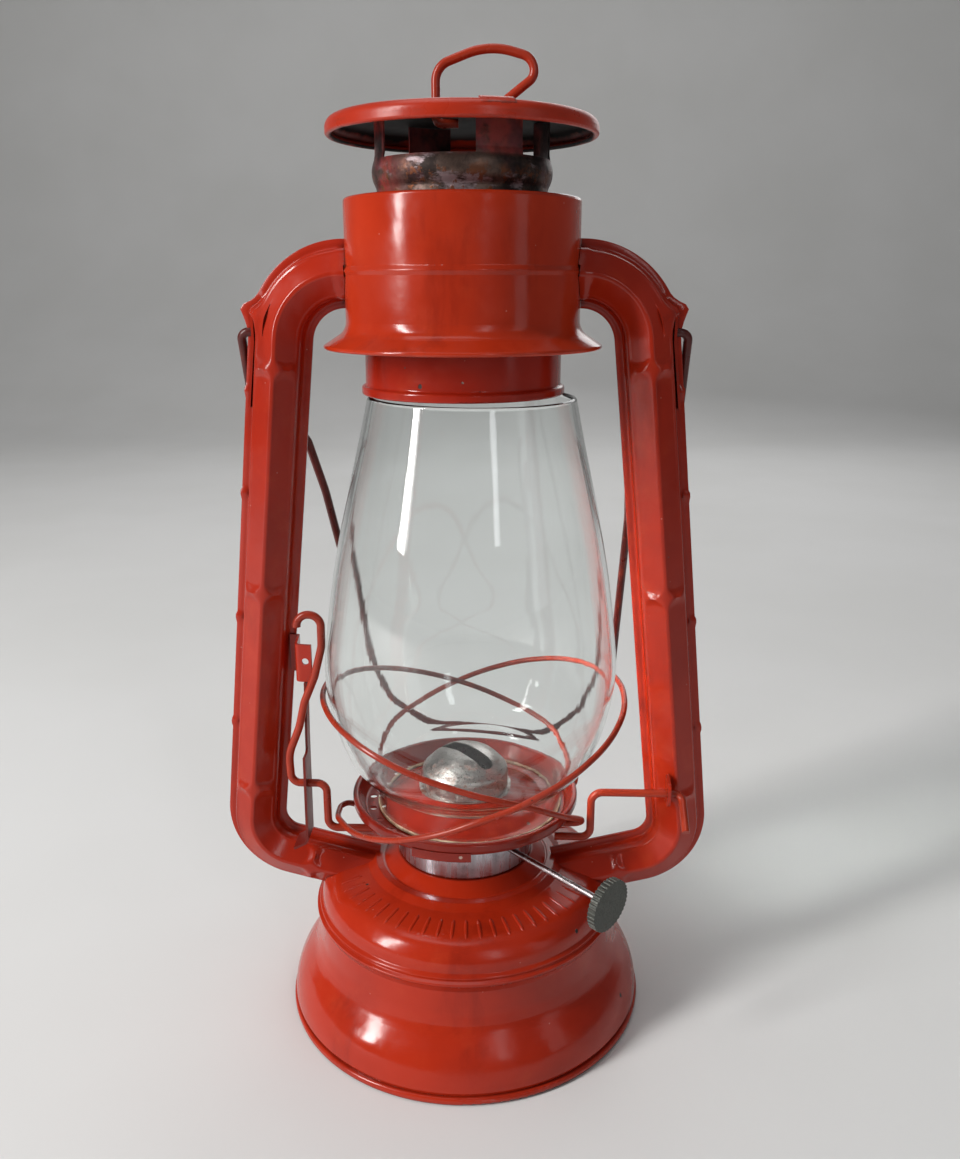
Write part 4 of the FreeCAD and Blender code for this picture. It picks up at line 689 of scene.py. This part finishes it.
def arc_strip(name, profile, first, last, material, body, ragged=0.0):
    """A bent strip: a closed outline of (radius, height) swept between two azimuths in degrees."""
    verts = []
    count = len(profile)
    rows = max(2, round(abs(last - first))) + 1
    for row in range(rows):
        azimuth = math.radians(first + (last - first) * row / (rows - 1))
        jag = ragged * math.sin(row * 1.7) * math.sin(row * 0.9 + 1.0)
        for index, (r, z) in enumerate(profile):
            r = r + (jag if index >= count // 2 else 0.0)
            verts.append((r * math.cos(azimuth), r * math.sin(azimuth), z))
    add_mesh(name, verts, swept(rows, count), material, body, sharp=35)


make_dome_beads()
arc_strip("crown_tab", [(42.3, 359.6), (42.4, 360.65), (44.6, 360.45), (46.9, 359.6), (48.3, 358.3),
                        (48.1, 357.6), (46.6, 358.5), (44.4, 359.2)], -80.0, -66.0, soot_and_shade_red, "hood",
          ragged=0.25)
arc_strip("plate_lip", [(47.1, 92.6), (47.1, 89.0), (47.6, 88.5), (48.05, 89.0), (48.1, 92.6)],
          -113.0, -84.5, red_plate_shaded, "carriage")


def frosted(name):
    """Ground and dusty foot of the globe."""
    p = Paint(name)
    colour = p.mix(p.ramp(p.noise(150.0, 5.0, 0.7), 0.40, 0.62), (0.50, 0.37, 0.24), (0.20, 0.10, 0.055))
    return p.set(Base_Color=colour, Roughness=0.6, Normal=p.bump(p.noise(600.0), 0.00006))


def make_globe_foot():
    """Ground edge of the globe where it stands on the plate."""
    profile = [(36.9, 90.75), (38.9, 90.75), (39.12, 91.0), (39.1, 91.7), (38.7, 91.9), (37.0, 91.6)]
    verts, faces = lathe(profile, 160)
    verts = [(x + GLOBE_SHIFT, y, z - x * math.sin(GLOBE_LEAN)) for x, y, z in verts]
    add_mesh("globe_foot", verts, faces, frosted("ground_foot"), "carriage")


make_globe_foot()


# Studio

def area_light(name, place, target, size, size_y, power, colour=(1, 1, 1)):
    """A soft rectangular lamp at a place, turned to its target; metres and watts."""
    lamp = bpy.data.lights.new(name, "AREA")
    lamp.shape = "RECTANGLE"
    lamp.size, lamp.size_y = size, size_y
    lamp.energy = power
    lamp.color = colour
    obj = bpy.data.objects.new(name, lamp)
    bpy.context.scene.collection.objects.link(obj)
    obj.location = place
    obj.rotation_euler = (Vector(target) - Vector(place)).to_track_quat("-Z", "Y").to_euler()


area_light("key", (-1.40, -0.85, 0.95), (0, 0, 0.20), 0.24, 1.2, 36.0, (1.0, 0.985, 0.97))
area_light("fill", (1.5, -0.9, 0.7), (0, 0, 0.20), 0.4, 1.2, 1.0, (0.94, 0.97, 1.0))
area_light("window", (0.62, -1.35, 0.9), (0, 0, 0.20), 0.16, 0.9, 1.8, (0.96, 0.98, 1.0))
area_light("top", (-0.2, 0.1, 1.9), (0, 0, 0.20), 1.2, 1.2, 7.0)
area_light("rear", (0.3, 1.5, 1.0), (0, 0, 0.25), 1.2, 1.0, 6.0)

world = bpy.data.worlds.new("studio")
bpy.context.scene.world = world
world.use_nodes = True
sky = world.node_tree.nodes["Background"]
sky.inputs["Color"].default_value = (0.90, 0.91, 0.92, 1)
sky.inputs["Strength"].default_value = 0.13


def make_floor():
    """Pale floor that curves up into a backdrop; metres."""
    verts = []
    faces = []
    bend_start, bend, half_width, top = 1.6, 0.9, 4.5, 4.0
    section = [(-4.0, 0.0), (bend_start, 0.0)]
    for k in range(1, 13):
        angle = math.radians(90 * k / 12)
        section.append((bend_start + bend * math.sin(angle), bend - bend * math.cos(angle)))
    section.append((bend_start + bend, top))
    for y, z in section:
        verts += [(-half_width, y, z), (half_width, y, z)]
    for k in range(len(section) - 1):
        faces.append((2 * k, 2 * k + 1, 2 * k + 3, 2 * k + 2))
    mesh = bpy.data.meshes.new("floor")
    mesh.from_pydata(verts, [], faces)
    mesh.shade_smooth()
    p = Paint("floor")
    colour = p.mix(p.ramp(p.noise(3.0, 3.0), 0.3, 0.7), (0.70, 0.70, 0.69), (0.74, 0.74, 0.735))
    p.set(Base_Color=colour, Roughness=0.75)
    mesh.materials.append(p.material)
    obj = bpy.data.objects.new("floor", mesh)
    bpy.context.scene.collection.objects.link(obj)


make_floor()

# Camera, solved from the photograph

lens = bpy.data.cameras.new("camera")
lens.sensor_fit = "HORIZONTAL"
lens.sensor_width = 36.0
lens.lens = 37.764
lens.clip_start = 0.01
camera = bpy.data.objects.new("camera", lens)
bpy.context.scene.collection.objects.link(camera)
pitch = math.radians(16.426)
look = Vector((-0.0349 * math.cos(pitch), 0.99939 * math.cos(pitch), -math.sin(pitch)))
turn = look.to_track_quat("-Z", "Y").to_matrix().to_4x4()
camera.matrix_world = Matrix.Translation((0.0200, -0.39014, 0.30393)) @ turn
bpy.context.scene.camera = camera
bpy.context.scene.view_settings.view_transform = "Standard"
